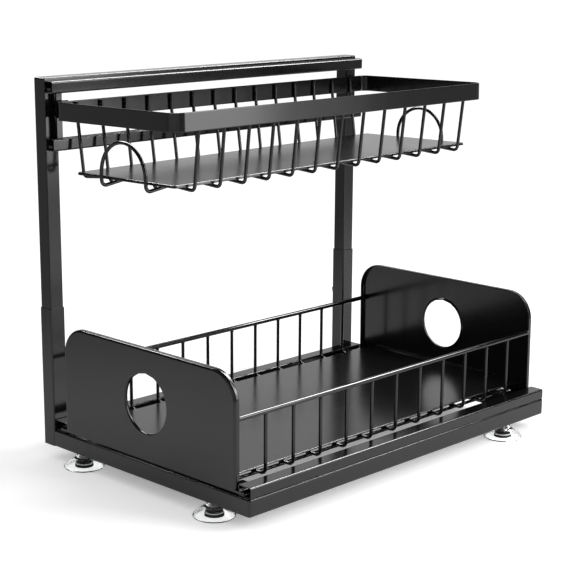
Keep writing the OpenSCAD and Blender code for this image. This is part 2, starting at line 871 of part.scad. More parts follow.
module hanger_screws() {
    head_y = rim_back - rim_t;
    shank = tab_y + hanger_t + hanger_nut_t - head_y;
    color(black_coat) placed() both_ends()
        translate([-hanger_screw_x, head_y, rim_mid_z]) rotate([-90, 0, 0]) {
            cylinder(h = shank, d = hanger_screw_d);
            translate([0, 0, -hanger_head_t]) difference() {
                cylinder(h = hanger_head_t, d = hanger_head_d);
                translate([0, 0, -cut]) cylinder(h = hanger_head_t / 2 + cut, d = 2.8, $fn = 6);
            }
        }
}

module hanger_nuts() {
    color(black_coat) placed() both_ends()
        translate([-hanger_screw_x, tab_y + hanger_t, rim_mid_z]) rotate([-90, 0, 0]) difference() {
            cylinder(h = hanger_nut_t, d = hanger_head_d + 1, $fn = 6);
            translate([0, 0, -cut])
                cylinder(h = hanger_nut_t + 2 * cut, d = hanger_screw_d + 2 * plug_gap);
        }
}

// Slide bars and glides of the basket

module slide_bar(z) {
    translate([-slide_l / 2, rail_mid_y - slide_w / 2, z]) cube([slide_l, slide_w, slide_t]);
}

module upper_slide_bar() {
    lug_top = rail_top_z - track_wall - glide_gap;
    color(black_coat) placed() {
        slide_bar(slide_up_z);
        translate([-stop_lug_l / 2, rail_mid_y - slide_t / 2, slide_up_z])
            cube([stop_lug_l, slide_t, lug_top - slide_up_z]);
    }
}

module lower_slide_bar() {
    color(black_coat) placed() slide_bar(slide_low_z);
}

// Shoes round a bar of width w and thickness t, w along Y, low edge at the given height
module glides(w, t, wall_low, wall_top) {
    outer_w = w + 2 * runner_wall();
    for (x = [-glide_outer_x, -glide_inner_x, glide_inner_x, glide_outer_x]) {
        translate([x - glide_l / 2, 0, 0]) difference() {
            translate([0, -outer_w / 2, -wall_low]) cube([glide_l, outer_w, t + wall_low + wall_top]);
            translate([-cut, -w / 2 - glide_fit, -glide_fit])
                cube([glide_l + 2 * cut, w + 2 * glide_fit, t + 2 * glide_fit]);
        }
    }
}

module upper_glides() {
    wall = runner_wall();
    color(black_plastic) placed() translate([0, rail_mid_y, slide_up_z])
        glides(slide_w, slide_t, wall, wall);
}

module lower_glides() {
    wall = runner_wall();
    color(black_plastic) placed() translate([0, rail_mid_y, slide_low_z])
        glides(slide_w, slide_t, wall, wall);
}

// Drawer

// Outline of an end panel, with its low corner at the origin
module panel_outline(inset) {
    w = panel_d - 2 * inset;
    h = panel_h - 2 * inset;
    top = panel_top_r - inset;
    low = panel_low_r - inset;
    translate([inset, inset]) {
        translate([low, 0]) square([w - 2 * low, h - top]);
        translate([0, low]) square([w, h - top - low]);
        translate([top, low]) square([w - 2 * top, h - low]);
        for (x = [low, w - low]) {
            translate([x, low]) circle(low);
        }
        for (x = [top, w - top]) {
            translate([x, h - top]) circle(top);
        }
    }
}

// Left end panel: a sheet with a flange all round and a collared finger hole
module end_panel() {
    translate([0, panel_y, panel_z]) {
        difference() {
            along_x(-drawer_w / 2, panel_flange) panel_outline(0);
            along_x(-drawer_w / 2 + panel_t, panel_flange) panel_outline(panel_t);
            along_x(-drawer_w / 2 - cut, panel_t + 2 * cut) translate([panel_d / 2, grip_z]) circle(grip_r);
        }
        along_x(-drawer_w / 2, grip_collar) translate([panel_d / 2, grip_z]) difference() {
            circle(grip_r + panel_t);
            circle(grip_r);
        }
    }
}

module drawer_left_panel() {
    color(black_coat) placed() end_panel();
}

module drawer_right_panel() {
    color(black_coat) placed() mirror([1, 0, 0]) end_panel();
}

// Tie bar beneath the left end panel, its ears in the two tracks
module tie() {
    y0 = track_d - tie_ear;
    length = back_track_y + tie_ear - y0;
    translate([-drawer_w / 2, y0, runner_low]) linear_extrude(runner_t)
        round_rect(tie_w, length, tie_w / 2 - 0.5);
}

module drawer_left_tie() {
    color(black_coat) placed() tie();
}

module drawer_right_tie() {
    color(black_coat) placed() mirror([1, 0, 0]) tie();
}

module drawer_floor() {
    w = 2 * (panel_in_x - weld_gap);
    color(black_coat) placed() translate([0, drawer_mid_y - drawer_floor_reach, drawer_floor_z])
        lipped_plate(w, 2 * drawer_floor_reach, drawer_lip);
}

// Straight wire between the end panels' flanges, front or back by the sign s
module drawer_long_wire(s, reach, z, d) {
    x = panel_in_x - weld_gap;
    y = drawer_mid_y + s * reach;
    straight([-x, y, z], [x, y, z], d);
}

module drawer_front_top_wire() {
    color(wire_coat) placed() drawer_long_wire(-1, top_wire_reach, top_wire_z, top_wire_d);
}

module drawer_back_top_wire() {
    color(wire_coat) placed() drawer_long_wire(1, top_wire_reach, top_wire_z, top_wire_d);
}

module drawer_front_foot_wire() {
    color(wire_coat) placed() drawer_long_wire(-1, foot_wire_reach, foot_wire_z, thin_wire_d);
}

module drawer_back_foot_wire() {
    color(wire_coat) placed() drawer_long_wire(1, foot_wire_reach, foot_wire_z, thin_wire_d);
}

// Upright wires of one long side, front or back by the sign s
module uprights(s) {
    y = drawer_mid_y + s * top_wire_reach;
    x0 = -upright_pitch * (upright_n - 1) / 2;
    for (i = [0:upright_n - 1]) {
        translate([x0 + i * upright_pitch, 0, 0]) wire([
            [0, y, top_wire_z - top_wire_d / 2 - weld_gap],
            [0, y, upright_foot_z],
            [0, y - s * upright_run, upright_foot_z]
        ], thin_wire_d, upright_bend);
    }
}

module drawer_front_uprights() {
    color(wire_coat) placed() uprights(-1);
}

module drawer_back_uprights() {
    color(wire_coat) placed() uprights(1);
}

// Runner bar of the front track, with the stop lug in the middle of its outer edge
module runner() {
    y0 = track_d - track_wall - glide_gap - runner_wall() - runner_w;
    half = drawer_w / 2 - tie_w;
    translate([-half, y0, runner_low]) cube([2 * half, runner_w, runner_t]);
    translate([-stop_lug_l / 2, track_wall + glide_gap, runner_low])
        cube([stop_lug_l, y0 + 1 - track_wall - glide_gap, runner_t]);
}

module drawer_front_runner() {
    color(black_coat) placed() runner();
}

module drawer_back_runner() {
    color(black_coat) placed() translate([0, back_track_y + track_d, 0]) mirror([0, 1, 0]) runner();
}

module runner_glides() {
    wall_low = runner_z - track_wall - glide_gap;
    wall_top = track_h - track_wall - glide_gap - runner_z - runner_t;
    y_mid = track_d - track_wall - glide_gap - runner_wall() - runner_w / 2;
    translate([0, y_mid, runner_low]) glides(runner_w, runner_t, wall_low, wall_top);
}

module drawer_front_glides() {
    color(black_plastic) placed() runner_glides();
}

module drawer_back_glides() {
    color(black_plastic) placed() translate([0, back_track_y + track_d, 0])
        mirror([0, 1, 0]) runner_glides();
}

left_side_rail();
right_side_rail();
front_cross_tube();
back_cross_tube();
left_sleeve_post();
right_sleeve_post();
sleeve_plugs();
front_track();
back_track();
drawer_stop_rivets();
front_left_foot();
back_left_foot();
front_right_foot();
back_right_foot();
foot_studs();
foot_nuts();
left_inner_post();
right_inner_post();
top_cross_tube();
post_plugs();
upper_rail();
lower_rail();
basket_stop_rivets();
lock_screws();
lock_washers();
lock_inserts();
basket_rim();
basket_floor();
basket_front_wires();
basket_back_wires();
left_arch();
right_arch();
left_hanger();
right_hanger();
hanger_spacers();
hanger_screws();
hanger_nuts();
upper_slide_bar();
lower_slide_bar();
upper_glides();
lower_glides();
drawer_floor();
drawer_left_panel();
drawer_right_panel();
drawer_left_tie();
drawer_right_tie();
drawer_front_top_wire();
drawer_back_top_wire();
drawer_front_foot_wire();
drawer_back_foot_wire();
drawer_front_uprights();
drawer_back_uprights();
drawer_front_runner();
drawer_back_runner();
drawer_front_glides();
drawer_back_glides();
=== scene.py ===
"""Looks of a two-tier under sink organizer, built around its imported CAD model.

Sizes are millimetres in the base's own axes, as in the part's source: X from the middle of the
base along its long side, Y back from the base's front face, Z up from the underside of its tubes.
Mesh data is in metres of the model's frame.
"""

import json
import logging
import math
from dataclasses import dataclass, field
from enum import Enum

import bmesh
import bpy
from mathutils import Matrix, Vector

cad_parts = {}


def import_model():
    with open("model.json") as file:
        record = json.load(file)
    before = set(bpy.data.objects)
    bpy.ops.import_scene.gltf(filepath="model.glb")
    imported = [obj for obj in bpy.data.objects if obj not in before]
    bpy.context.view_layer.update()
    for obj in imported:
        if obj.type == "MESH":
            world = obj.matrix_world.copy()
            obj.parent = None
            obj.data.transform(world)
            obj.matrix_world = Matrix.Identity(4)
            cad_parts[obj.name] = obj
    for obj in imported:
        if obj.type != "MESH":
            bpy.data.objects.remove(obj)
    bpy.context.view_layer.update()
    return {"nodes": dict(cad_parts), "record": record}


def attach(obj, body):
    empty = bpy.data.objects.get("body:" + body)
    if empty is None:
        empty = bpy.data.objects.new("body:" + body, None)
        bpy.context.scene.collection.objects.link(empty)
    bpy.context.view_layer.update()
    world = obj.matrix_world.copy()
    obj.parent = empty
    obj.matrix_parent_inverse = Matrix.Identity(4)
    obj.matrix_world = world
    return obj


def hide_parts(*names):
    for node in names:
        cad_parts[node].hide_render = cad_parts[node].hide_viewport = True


log = logging.getLogger("organizer")

IMAGE_SIDE_PX = 576

# Place of the base's axes in the model's frame
X_SHIFT, Y_FRONT, FOOT_H = 4.875, -134.5, 13.0

Point = tuple[float, float, float]
Pair = tuple[float, float]


class Slot(Enum):
    """The record's material slots."""

    STEEL = "black_steel"
    WIRE = "black_wire"
    CLEAR = "clear_rubber"
    ZINC = "zinc"
    PLASTIC = "black_plastic"


class Body(Enum):
    """The bodies that move against each other."""

    BASE = "base"
    REAR_FRAME = "rear_frame"
    BASKET = "basket"
    DRAWER = "drawer"


class Side(Enum):
    """Left or right end of the object, as the sign of X."""

    LEFT = -1
    RIGHT = 1


def grey(value: float) -> tuple[float, float, float, float]:
    """Returns an opaque grey in linear light."""
    return (value, value, value, 1.0)


def place(point: Point) -> Vector:
    """Turns millimetres in the base's axes into metres in the model's frame."""
    return Vector(((point[0] + X_SHIFT) / 1000, (point[1] + Y_FRONT) / 1000,
                   (point[2] + FOOT_H) / 1000))


def arc(centre: Pair, radius: float, start: float, end: float, steps: int) -> list[Pair]:
    """Points on an arc, both ends included.

    Args:
        centre: Centre of the arc.
        radius: Radius of the arc.
        start: Angle of the first point, in degrees.
        end: Angle of the last point, in degrees.
        steps: Number of chords.

    Returns:
        The points in order.
    """
    angles = [math.radians(start + (end - start) * i / steps) for i in range(steps + 1)]
    return [(centre[0] + radius * math.cos(a), centre[1] + radius * math.sin(a)) for a in angles]


def round_rect(width: float, depth: float, radius: float, inset: float, steps: int = 10) -> list[Pair]:
    """Outline of a rectangle with round corners, its low corner at the origin.

    Args:
        width: Size along the first axis.
        depth: Size along the second axis.
        radius: Radius of the corners.
        inset: Distance that the outline is drawn in.
        steps: Chords of each corner.

    Returns:
        The points in order, the same number for every inset.
    """
    r = max(radius - inset, 0.02)
    a, b, c, d = inset + r, width - inset - r, inset + r, depth - inset - r
    corners = [((b, c), -90.0), ((b, d), 0.0), ((a, d), 90.0), ((a, c), 180.0)]
    return [p for centre, start in corners for p in arc(centre, r, start, start + 90.0, steps)]


class Tree:
    """A node tree with short calls for adding and linking nodes."""

    def __init__(self, tree: bpy.types.NodeTree) -> None:
        """Wraps a tree.

        Args:
            tree: The tree that the calls add to.
        """
        self.tree = tree

    def add(self, kind: str, **values: object) -> bpy.types.Node:
        """Adds a node and sets its properties or its input sockets by name.

        Args:
            kind: Blender's name for the node type.
            values: Properties, or inputs by name with underscores for spaces.

        Returns:
            The new node.
        """
        node = self.tree.nodes.new(kind)
        for name, value in values.items():
            if hasattr(node, name):
                setattr(node, name, value)
            else:
                node.inputs[name.replace("_", " ")].default_value = value
        return node

    def link(self, source: bpy.types.NodeSocket, target: bpy.types.NodeSocket) -> None:
        """Links an output socket to an input socket."""
        self.tree.links.new(source, target)


class Shell:
    """A closed mesh under construction, in millimetres of the base's axes."""

    def __init__(self) -> None:
        """Starts an empty shell."""
        self.points: list[Point] = []
        self.faces: list[tuple[int, ...]] = []

    def loop(self, points: list[Point]) -> list[int]:
        """Adds a row of points and returns their numbers."""
        first = len(self.points)
        self.points.extend(points)
        return list(range(first, first + len(points)))

    def band(self, a: list[int], b: list[int], closed: bool = True) -> None:
        """Joins two rows of the same length with quads.

        Args:
            a: The first row.
            b: The second row.
            closed: Whether the last point joins the first.
        """
        count = len(a)
        for i in range(count if closed else count - 1):
            j = (i + 1) % count
            self.faces.append((a[i], a[j], b[j], b[i]))

    def lid(self, row: list[int]) -> None:
        """Closes a row with one face."""
        self.faces.append(tuple(row))

    def skin(self, rows: list[list[Point]], ring: bool) -> list[list[int]]:
        """Joins rows of closed loops one after the other.

        Args:
            rows: The loops, all of the same length.
            ring: Whether the last loop joins the first. Otherwise both get a lid.

        Returns:
            The numbers of each loop's points.
        """
        loops = [self.loop(row) for row in rows]
        for a, b in zip(loops, loops[1:]):
            self.band(a, b)
        if ring:
            self.band(loops[-1], loops[0])
        else:
            self.lid(loops[0])
            self.lid(loops[-1])
        return loops

    def mesh(self, name: str, sharp: float = 35.0) -> bpy.types.Mesh:
        """Makes the mesh, with merged doubles, outward faces and smooth shading.

        Args:
            name: Name of the mesh.
            sharp: Angle in degrees past which an edge stays sharp.

        Returns:
            The mesh in metres of the model's frame.
        """
        mesh = bpy.data.meshes.new(name)
        mesh.from_pydata([place(p) for p in self.points], [], self.faces)
        work = bmesh.new()
        work.from_mesh(mesh)
        bmesh.ops.remove_doubles(work, verts=work.verts, dist=2e-6)
        bmesh.ops.recalc_face_normals(work, faces=work.faces)
        work.to_mesh(mesh)
        work.free()
        smooth(mesh, sharp)
        return mesh


def smooth(mesh: bpy.types.Mesh, sharp: float) -> None:
    """Shades a mesh smooth, apart from edges sharper than an angle in degrees."""
    mesh.polygons.foreach_set("use_smooth", [True] * len(mesh.polygons))
    mesh.set_sharp_from_angle(angle=math.radians(sharp))
    mesh.update()


def piece(mesh: bpy.types.Mesh, material: bpy.types.Material, body: Body, slot: Slot,
          *nodes: str) -> bpy.types.Object:
    """Makes a piece of the object from a finished mesh.

    Args:
        mesh: The mesh, whose name becomes the piece's.
        material: The piece's finish.
        body: The body that it rides on.
        slot: The record's slot of its finish. Not used.
        nodes: The CAD nodes that it stands for.

    Returns:
        The piece.
    """
    mesh.materials.clear()
    mesh.materials.append(material)
    made = bpy.data.objects.new(mesh.name, mesh)
    bpy.context.scene.collection.objects.link(made)
    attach(made, body.value)
    if nodes:
        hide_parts(*nodes)
    log.info("built %s, %d faces, for %s", made.name, len(mesh.polygons), ", ".join(nodes) or "itself")
    return made


def outline_points(half: float, height: float, top_r: float, low_r: float, inset: float) -> list[Pair]:
    """Outline of a panel with large upper and small lower corners, its low edge at zero.

    Args:
        half: Half of the width.
        height: Height of the panel.
        top_r: Radius of the upper corners.
        low_r: Radius of the lower corners.
        inset: Distance that the outline is drawn in.

    Returns:
        The points in order, the same number for every inset.
    """
    corners = [((half - low_r, low_r), low_r, -90.0, 6), ((half - top_r, height - top_r), top_r, 0.0, 18),
               ((-half + top_r, height - top_r), top_r, 90.0, 18), ((-half + low_r, low_r), low_r, 180.0, 6)]
    stretches = [14, 8, 14, 24]
    points: list[Pair] = []
    arcs = [arc(centre, max(r - inset, 0.02), start, start + 90.0, steps)
            for centre, r, start, steps in corners]
    for i, bend in enumerate(arcs):
        points += bend
        a, b, count = bend[-1], arcs[(i + 1) % 4][0], stretches[i]
        points += [(a[0] + (b[0] - a[0]) * k / count, a[1] + (b[1] - a[1]) * k / count)
                   for k in range(1, count)]
    return points


def bent(corners: list[Point], radii: list[float], steps: int = 7) -> list[Point]:
    """Centre line of a wire whose inner corners are bent round.

    Args:
        corners: Ends and corners of the wire.
        radii: Radius of the bend at each inner corner.
        steps: Chords of each bend.

    Returns:
        The points of the centre line in order.
    """
    line = [Vector(c) for c in corners]
    points = [line[0]]
    for before, at, after, radius in zip(line, line[1:], line[2:], radii):
        u, v = (at - before).normalized(), (after - at).normalized()
        turn = u.angle(v)
        axis = u.cross(v).normalized()
        start = at - u * radius * math.tan(turn / 2)
        centre = start + axis.cross(u) * radius
        points += [centre + Matrix.Rotation(turn * k / steps, 3, axis) @ (start - centre)
                   for k in range(steps + 1)]
    points.append(line[-1])
    return [tuple(p) for p in points]


def square_ring(size: float, radius: float, steps: int = 5) -> list[Pair]:
    """Section of a solid square bar with round corners and its low corner at the origin.

    Args:
        size: Side of the section.
        radius: Radius of the corners.
        steps: Chords of each corner.

    Returns:
        The points in order, with points close to the corners so that the flats shade flat.
    """
    points: list[Pair] = []
    rows = round_rect(size, size, radius, 0.0, steps)
    for i in range(4):
        bend = rows[i * (steps + 1):(i + 1) * (steps + 1)]
        a, b = Vector(bend[0]), Vector(bend[-1])
        turn = math.radians(-90.0 + 90.0 * i)
        ahead = Vector((math.cos(turn + math.pi / 2), math.sin(turn + math.pi / 2)))
        after = Vector((math.cos(turn + math.pi), math.sin(turn + math.pi)))
        points += [tuple(a - ahead * 0.3), *bend, tuple(b + after * 0.3)]
    return points


@dataclass(frozen=True)
class WireTree:
    """Geometry Nodes tree that grows round wire along a guide and repeats it along X."""

    name: str = "wire_row"
    sides: int = 14

    def build(self) -> bpy.types.NodeTree:
        """Builds the tree.

        Returns:
            The tree, with named inputs for its sizes and its finish.
        """
        group = bpy.data.node_groups.new(self.name, "GeometryNodeTree")
        face = group.interface
        for label, kind in (("Guide", "Geometry"), ("Radius", "Float"), ("Bead", "Float"),
                            ("Count", "Int"), ("Pitch", "Float"), ("Jitter", "Float"),
                            ("Seed", "Int"), ("Finish", "Material")):
            face.new_socket(label, in_out="INPUT", socket_type="NodeSocket" + kind)
        face.new_socket("Wires", in_out="OUTPUT", socket_type="NodeSocketGeometry")
        tree = Tree(group)
        given = tree.add("NodeGroupInput").outputs
        wire = self.wire(tree, given)
        row = tree.add("GeometryNodeMeshLine", mode="OFFSET")
        step = tree.add("ShaderNodeCombineXYZ")
        tree.link(given["Count"], row.inputs["Count"])
        tree.link(given["Pitch"], step.inputs["X"])
        tree.link(step.outputs[0], row.inputs["Offset"])
        shake = tree.add("FunctionNodeRandomValue", data_type="FLOAT_VECTOR")
        shake.inputs[0].default_value = (-1.0, 0.0, 0.0)
        shake.inputs[1].default_value = (1.0, 0.0, 0.0)
        tree.link(given["Seed"], shake.inputs["Seed"])
        scale = tree.add("ShaderNodeVectorMath", operation="SCALE")
        tree.link(shake.outputs[0], scale.inputs[0])
        tree.link(given["Jitter"], scale.inputs["Scale"])
        moved = tree.add("GeometryNodeSetPosition")
        tree.link(row.outputs[0], moved.inputs["Geometry"])
        tree.link(scale.outputs[0], moved.inputs["Offset"])
        many = tree.add("GeometryNodeInstanceOnPoints")
        tree.link(moved.outputs[0], many.inputs["Points"])
        tree.link(wire, many.inputs["Instance"])
        real = tree.add("GeometryNodeRealizeInstances")
        finish = tree.add("GeometryNodeSetMaterial")
        out = tree.add("NodeGroupOutput")
        tree.link(many.outputs[0], real.inputs[0])
        tree.link(real.outputs[0], finish.inputs["Geometry"])
        tree.link(given["Finish"], finish.inputs["Material"])
        tree.link(finish.outputs[0], out.inputs["Wires"])
        return group

    def wire(self, tree: Tree, given: bpy.types.bpy_prop_collection) -> bpy.types.NodeSocket:
        """Adds the nodes for one wire with its weld beads.

        Args:
            tree: The tree under construction.
            given: The outputs of its input node.

        Returns:
            The socket that gives the wire.
        """
        line = tree.add("GeometryNodeMeshToCurve")
        ring = tree.add("GeometryNodeCurvePrimitiveCircle", Resolution=self.sides)
        body = tree.add("GeometryNodeCurveToMesh", Fill_Caps=True)
        tree.link(given["Guide"], line.inputs["Mesh"])
        tree.link(given["Radius"], ring.inputs["Radius"])
        tree.link(line.outputs[0], body.inputs["Curve"])
        tree.link(ring.outputs["Curve"], body.inputs["Profile Curve"])
        weld = tree.add("GeometryNodeInputNamedAttribute", data_type="FLOAT")
        weld.inputs["Name"].default_value = "weld"
        spots = tree.add("GeometryNodeMeshToPoints")
        tree.link(given["Guide"], spots.inputs["Mesh"])
        tree.link(weld.outputs["Attribute"], spots.inputs["Selection"])
        ball = tree.add("GeometryNodeMeshUVSphere", Segments=12, Rings=8)
        tree.link(given["Bead"], ball.inputs["Radius"])
        beads = tree.add("GeometryNodeInstanceOnPoints")
        tree.link(spots.outputs[0], beads.inputs["Points"])
        tree.link(ball.outputs["Mesh"], beads.inputs["Instance"])
        both = tree.add("GeometryNodeJoinGeometry")
        tree.link(beads.outputs[0], both.inputs[0])
        tree.link(body.outputs[0], both.inputs[0])
        return both.outputs[0]


@dataclass
class WireShop:
    """Makes wire pieces with one shared tree.

    Attributes:
        tree: The Geometry Nodes tree.
        finish: The coat of the wires.
    """

    tree: bpy.types.NodeTree
    finish: bpy.types.Material

    def make(self, name: str, guides: list[list[Point]], welds: list[Point], diameter: float,
             body: Body, nodes: tuple[str, ...], count: int = 1, pitch: float = 0.0,
             jitter: float = 0.0) -> bpy.types.Object:
        """Grows wires along guides and turns them into one plain mesh.

        Args:
            name: Name of the piece.
            guides: Centre lines of one group of wires.
            welds: Middles of the group's weld beads.
            diameter: Thickness of the wire.
            body: The body that the piece rides on.
            nodes: The CAD nodes that it stands for.
            count: How many groups stand in the row.
            pitch: Distance from one group to the next along X.
            jitter: Largest shift of a group along X.

        Returns:
            The piece.
        """
        guide = bpy.data.meshes.new(name + "_guide")
        points: list[Point] = []
        edges: list[tuple[int, int]] = []
        for line in guides:
            edges += [(len(points) + i, len(points) + i + 1) for i in range(len(line) - 1)]
            points += line
        marks = [0.0] * len(points) + [1.0] * len(welds)
        guide.from_pydata([place(p) for p in points + welds], edges, [])
        guide.attributes.new("weld", "FLOAT", "POINT").data.foreach_set("value", marks)
        grown = bpy.data.objects.new(name, guide)
        bpy.context.scene.collection.objects.link(grown)
        step = grown.modifiers.new("grow", "NODES")
        step.node_group = self.tree
        given = {"Radius": diameter / 2000, "Bead": diameter / 2000 * 1.22, "Count": count,
                 "Pitch": pitch / 1000, "Jitter": jitter / 1000, "Seed": 7, "Finish": self.finish}
        for item in self.tree.interface.items_tree:
            if item.in_out == "INPUT" and item.name in given:
                step[item.identifier] = given[item.name]
        result = grown.evaluated_get(bpy.context.evaluated_depsgraph_get())
        mesh = bpy.data.meshes.new_from_object(result)
        grown.modifiers.clear()
        bpy.data.objects.remove(grown)
        bpy.data.meshes.remove(guide)
        mesh.name = name
        smooth(mesh, 45.0)
        return piece(mesh, self.finish, body, Slot.WIRE, *nodes)


def u_bar(section: list[Pair], half: float, foot: float, corner: float, put) -> Shell:
    """Sweeps a bar's section along a U: down one leg, across and up the other.

    Args:
        section: Points of the section as distance in from the U's outside and place across it.
        half: Half of the U's outer width.
        foot: Length of the legs from the U's outside.
        corner: Outer radius of the U's two corners.
        put: Turns place along the crossbar, distance from its outside and place across into a point.

    Returns:
        The closed shell.
    """
    rows: list[list[Point]] = []
    stations = [(-1, foot, None), (-1, corner + 0.5, None)]
    stations += [(-1, 0.0, 180.0 + 15.0 * k) for k in range(7)]
    stations += [(-1, -0.5, None), (1, -0.5, None)]
    stations += [(1, 0.0, 270.0 + 15.0 * k) for k in range(7)]
    stations += [(1, corner + 0.5, None), (1, foot, None)]
    for side, along, turn in stations:
        row: list[Point] = []
        for a, w in section:
            r, c = max(corner - a, 0.0), max(corner, a)
            if turn is not None:
                angle = math.radians(turn)
                row.append(put(side * (half - c) + r * math.cos(angle), c + r * math.sin(angle), w))
            elif along < 0.0:
                row.append(put(side * (half - c + along), a, w))
            else:
                row.append(put(side * (half - a), max(along, c), w))
        rows.append(row)
    shell = Shell()
    shell.skin(rows, ring=False)
    return shell


@dataclass
class BaseFrame:
    """Tubes that carry the drawer and the sleeves."""

    half: float = 200.0
    tube: float = 15.5
    edge: float = 1.5
    corner: float = 2.6
    rail_l: float = 253.5

    def build(self, steel: bpy.types.Material) -> None:
        """Builds the front tube with both side rails as one bar, and the back tube.

        Args:
            steel: The coat of the tubes.
        """
        section = square_ring(self.tube, self.edge)
        front = u_bar(section, self.half, self.rail_l, self.corner, lambda u, v, w: (u, v, w))
        piece(front.mesh("base_tubes"), steel, Body.BASE, Slot.STEEL,
              "front_cross_tube", "left_side_rail", "right_side_rail")
        back = Shell()
        inner = self.half - self.tube
        back.skin([[(x, self.rail_l + a, w) for a, w in section] for x in (-inner, inner)], ring=False)
        piece(back.mesh("back_tube"), steel, Body.BASE, Slot.STEEL, "back_cross_tube")


@dataclass
class RearFrame:
    """Inner posts and the tube across their tops, welded and ground at the corners."""

    half: float = 199.35
    post: float = 14.2
    edge: float = 1.2
    corner: float = 1.6
    top: float = 331.8
    low: float = 45.0
    back: float = 254.15

    def build(self, steel: bpy.types.Material) -> None:
        """Builds both posts and the cross tube as one bar.

        Args:
            steel: The coat of the tubes.
        """
        bar = u_bar(square_ring(self.post, self.edge), self.half, self.top - self.low, self.corner,
                    lambda u, v, w: (u, self.back + w, self.top - v))
        piece(bar.mesh("post_frame"), steel, Body.REAR_FRAME, Slot.STEEL,
              "left_inner_post", "right_inner_post", "top_cross_tube")


@dataclass
class EndPanel:
    """Sheet end of the drawer, folded inwards all round, with a collared finger hole."""

    side: Side
    outer_x: float = 199.7
    mid_y: float = 126.75
    low_z: float = 17.2
    half: float = 109.95
    height: float = 99.1
    top_r: float = 26.0
    low_r: float = 3.0
    sheet: float = 1.5
    fold: float = 2.3
    flange: float = 5.0
    hole_r: float = 26.5
    hole_z: float = 51.0
    rack: Pair = (0.0, 0.0)
    collar: float = 3.0
    collar_fold: float = 1.3

    def edge_row(self, inset: float, depth: float) -> list[Point]:
        """Returns the outline drawn in by inset, at a depth in from the outer face."""
        rim = outline_points(self.half, self.height, self.top_r, self.low_r, inset)
        return [self.put(y, z, depth) for y, z in rim]

    def hole_row(self, radius: float, depth: float) -> list[Point]:
        """Returns a circle round the hole, its points in line with the outline's."""
        rim = outline_points(self.half, self.height, self.top_r, self.low_r, 0.0)
        turns = [math.atan2(z - self.hole_z, y) for y, z in rim]
        return [self.put(radius * math.cos(t), self.hole_z + radius * math.sin(t), depth) for t in turns]

    def put(self, y: float, z: float, depth: float) -> Point:
        """Returns the point at a place on the panel and a depth in from its outer face."""
        up, ahead = z / self.height, 0.5 - y / (2 * self.half)
        return (self.side.value * (self.outer_x - depth), self.mid_y + y + self.rack[0] * up,
                self.low_z + z + self.rack[1] * up * ahead)

    def build(self, steel: bpy.types.Material) -> None:
        """Builds the panel.

        Args:
            steel: The coat of the sheet.
        """
        r, t, f, ri = self.fold, self.sheet, self.flange, 0.8
        turns = [math.radians(15.0 * k) for k in range(7)]
        rows = [self.edge_row(r + 0.4, 0.0)]
        rows += [self.edge_row(r * (1 - math.sin(a)), r * (1 - math.cos(a))) for a in turns]
        rows += [self.edge_row(0.0, r + 0.3), self.edge_row(0.0, f - 0.6), self.edge_row(0.0, f - 0.35),
                 self.edge_row(0.1, f - 0.1), self.edge_row(0.35, f), self.edge_row(t - 0.35, f),
                 self.edge_row(t - 0.1, f - 0.1), self.edge_row(t, f - 0.35), self.edge_row(t, f - 0.6),
                 self.edge_row(t, t + ri + 0.3)]
        rows += [self.edge_row(t + ri * (1 - math.sin(a)), t + ri * (1 - math.cos(a)))
                 for a in reversed(turns)]
        rows.append(self.edge_row(t + ri + 0.3, t))
        h, c, cf = self.hole_r, self.collar, self.collar_fold
        rows += [self.hole_row(h + t + ri + 0.4, t)]
        rows += [self.hole_row(h + t + ri * (1 - math.sin(a)), t + ri * (1 - math.cos(a)))
                 for a in turns]
        rows += [self.hole_row(h + t, c - 0.3), self.hole_row(h + t - 0.3, c), self.hole_row(h + 0.3, c),
                 self.hole_row(h, c - 0.3)]
        rows += [self.hole_row(h + cf * (1 - math.sin(a)), cf * (1 - math.cos(a)))
                 for a in reversed(turns)]
        rows.append(self.hole_row(h + cf + 0.4, 0.0))
        shell = Shell()
        shell.skin(rows, ring=True)
        name = self.side.name.lower()
        piece(shell.mesh(f"{name}_end_panel", 50.0), steel, Body.DRAWER, Slot.STEEL,
              f"drawer_{name}_panel")


@dataclass
class Tray:
    """Floor sheet with its edge rolled down all round."""

    name: str
    body: Body
    half: float
    front: float
    back: float
    top: float
    lip: float
    sheet: float = 1.0
    roll: float = 1.2
    corner: float = 2.5

    def row(self, inset: float, z: float) -> list[Point]:
        """Returns the outline drawn in by inset, at a height."""
        return [(x - self.half, self.front + y, z)
                for x, y in round_rect(2 * self.half, self.back - self.front, self.corner, inset)]

    def build(self, steel: bpy.types.Material, node: str) -> bpy.types.Object:
        """Builds the sheet.

        Args:
            steel: The coat of the sheet.
            node: The CAD node that it stands for.

        Returns:
            The sheet.
        """
        low, r, t = self.top - self.lip, min(self.roll, self.lip - 0.15), self.sheet
        rows = [self.row(t + 0.3, self.top - t), self.row(t, self.top - t - 0.02),
                self.row(t, low + 0.1), self.row(t - 0.1, low), self.row(0.1, low), self.row(0.0, low + 0.1)]
        rows += [self.row(r * (1 - math.cos(a)), self.top - r * (1 - math.sin(a)))
                 for a in (math.radians(15.0 * k) for k in range(7))]
        rows.append(self.row(r + 0.4, self.top))
        shell = Shell()
        shell.skin(rows, ring=False)
        return piece(shell.mesh(self.name), steel, self.body, Slot.STEEL, node)


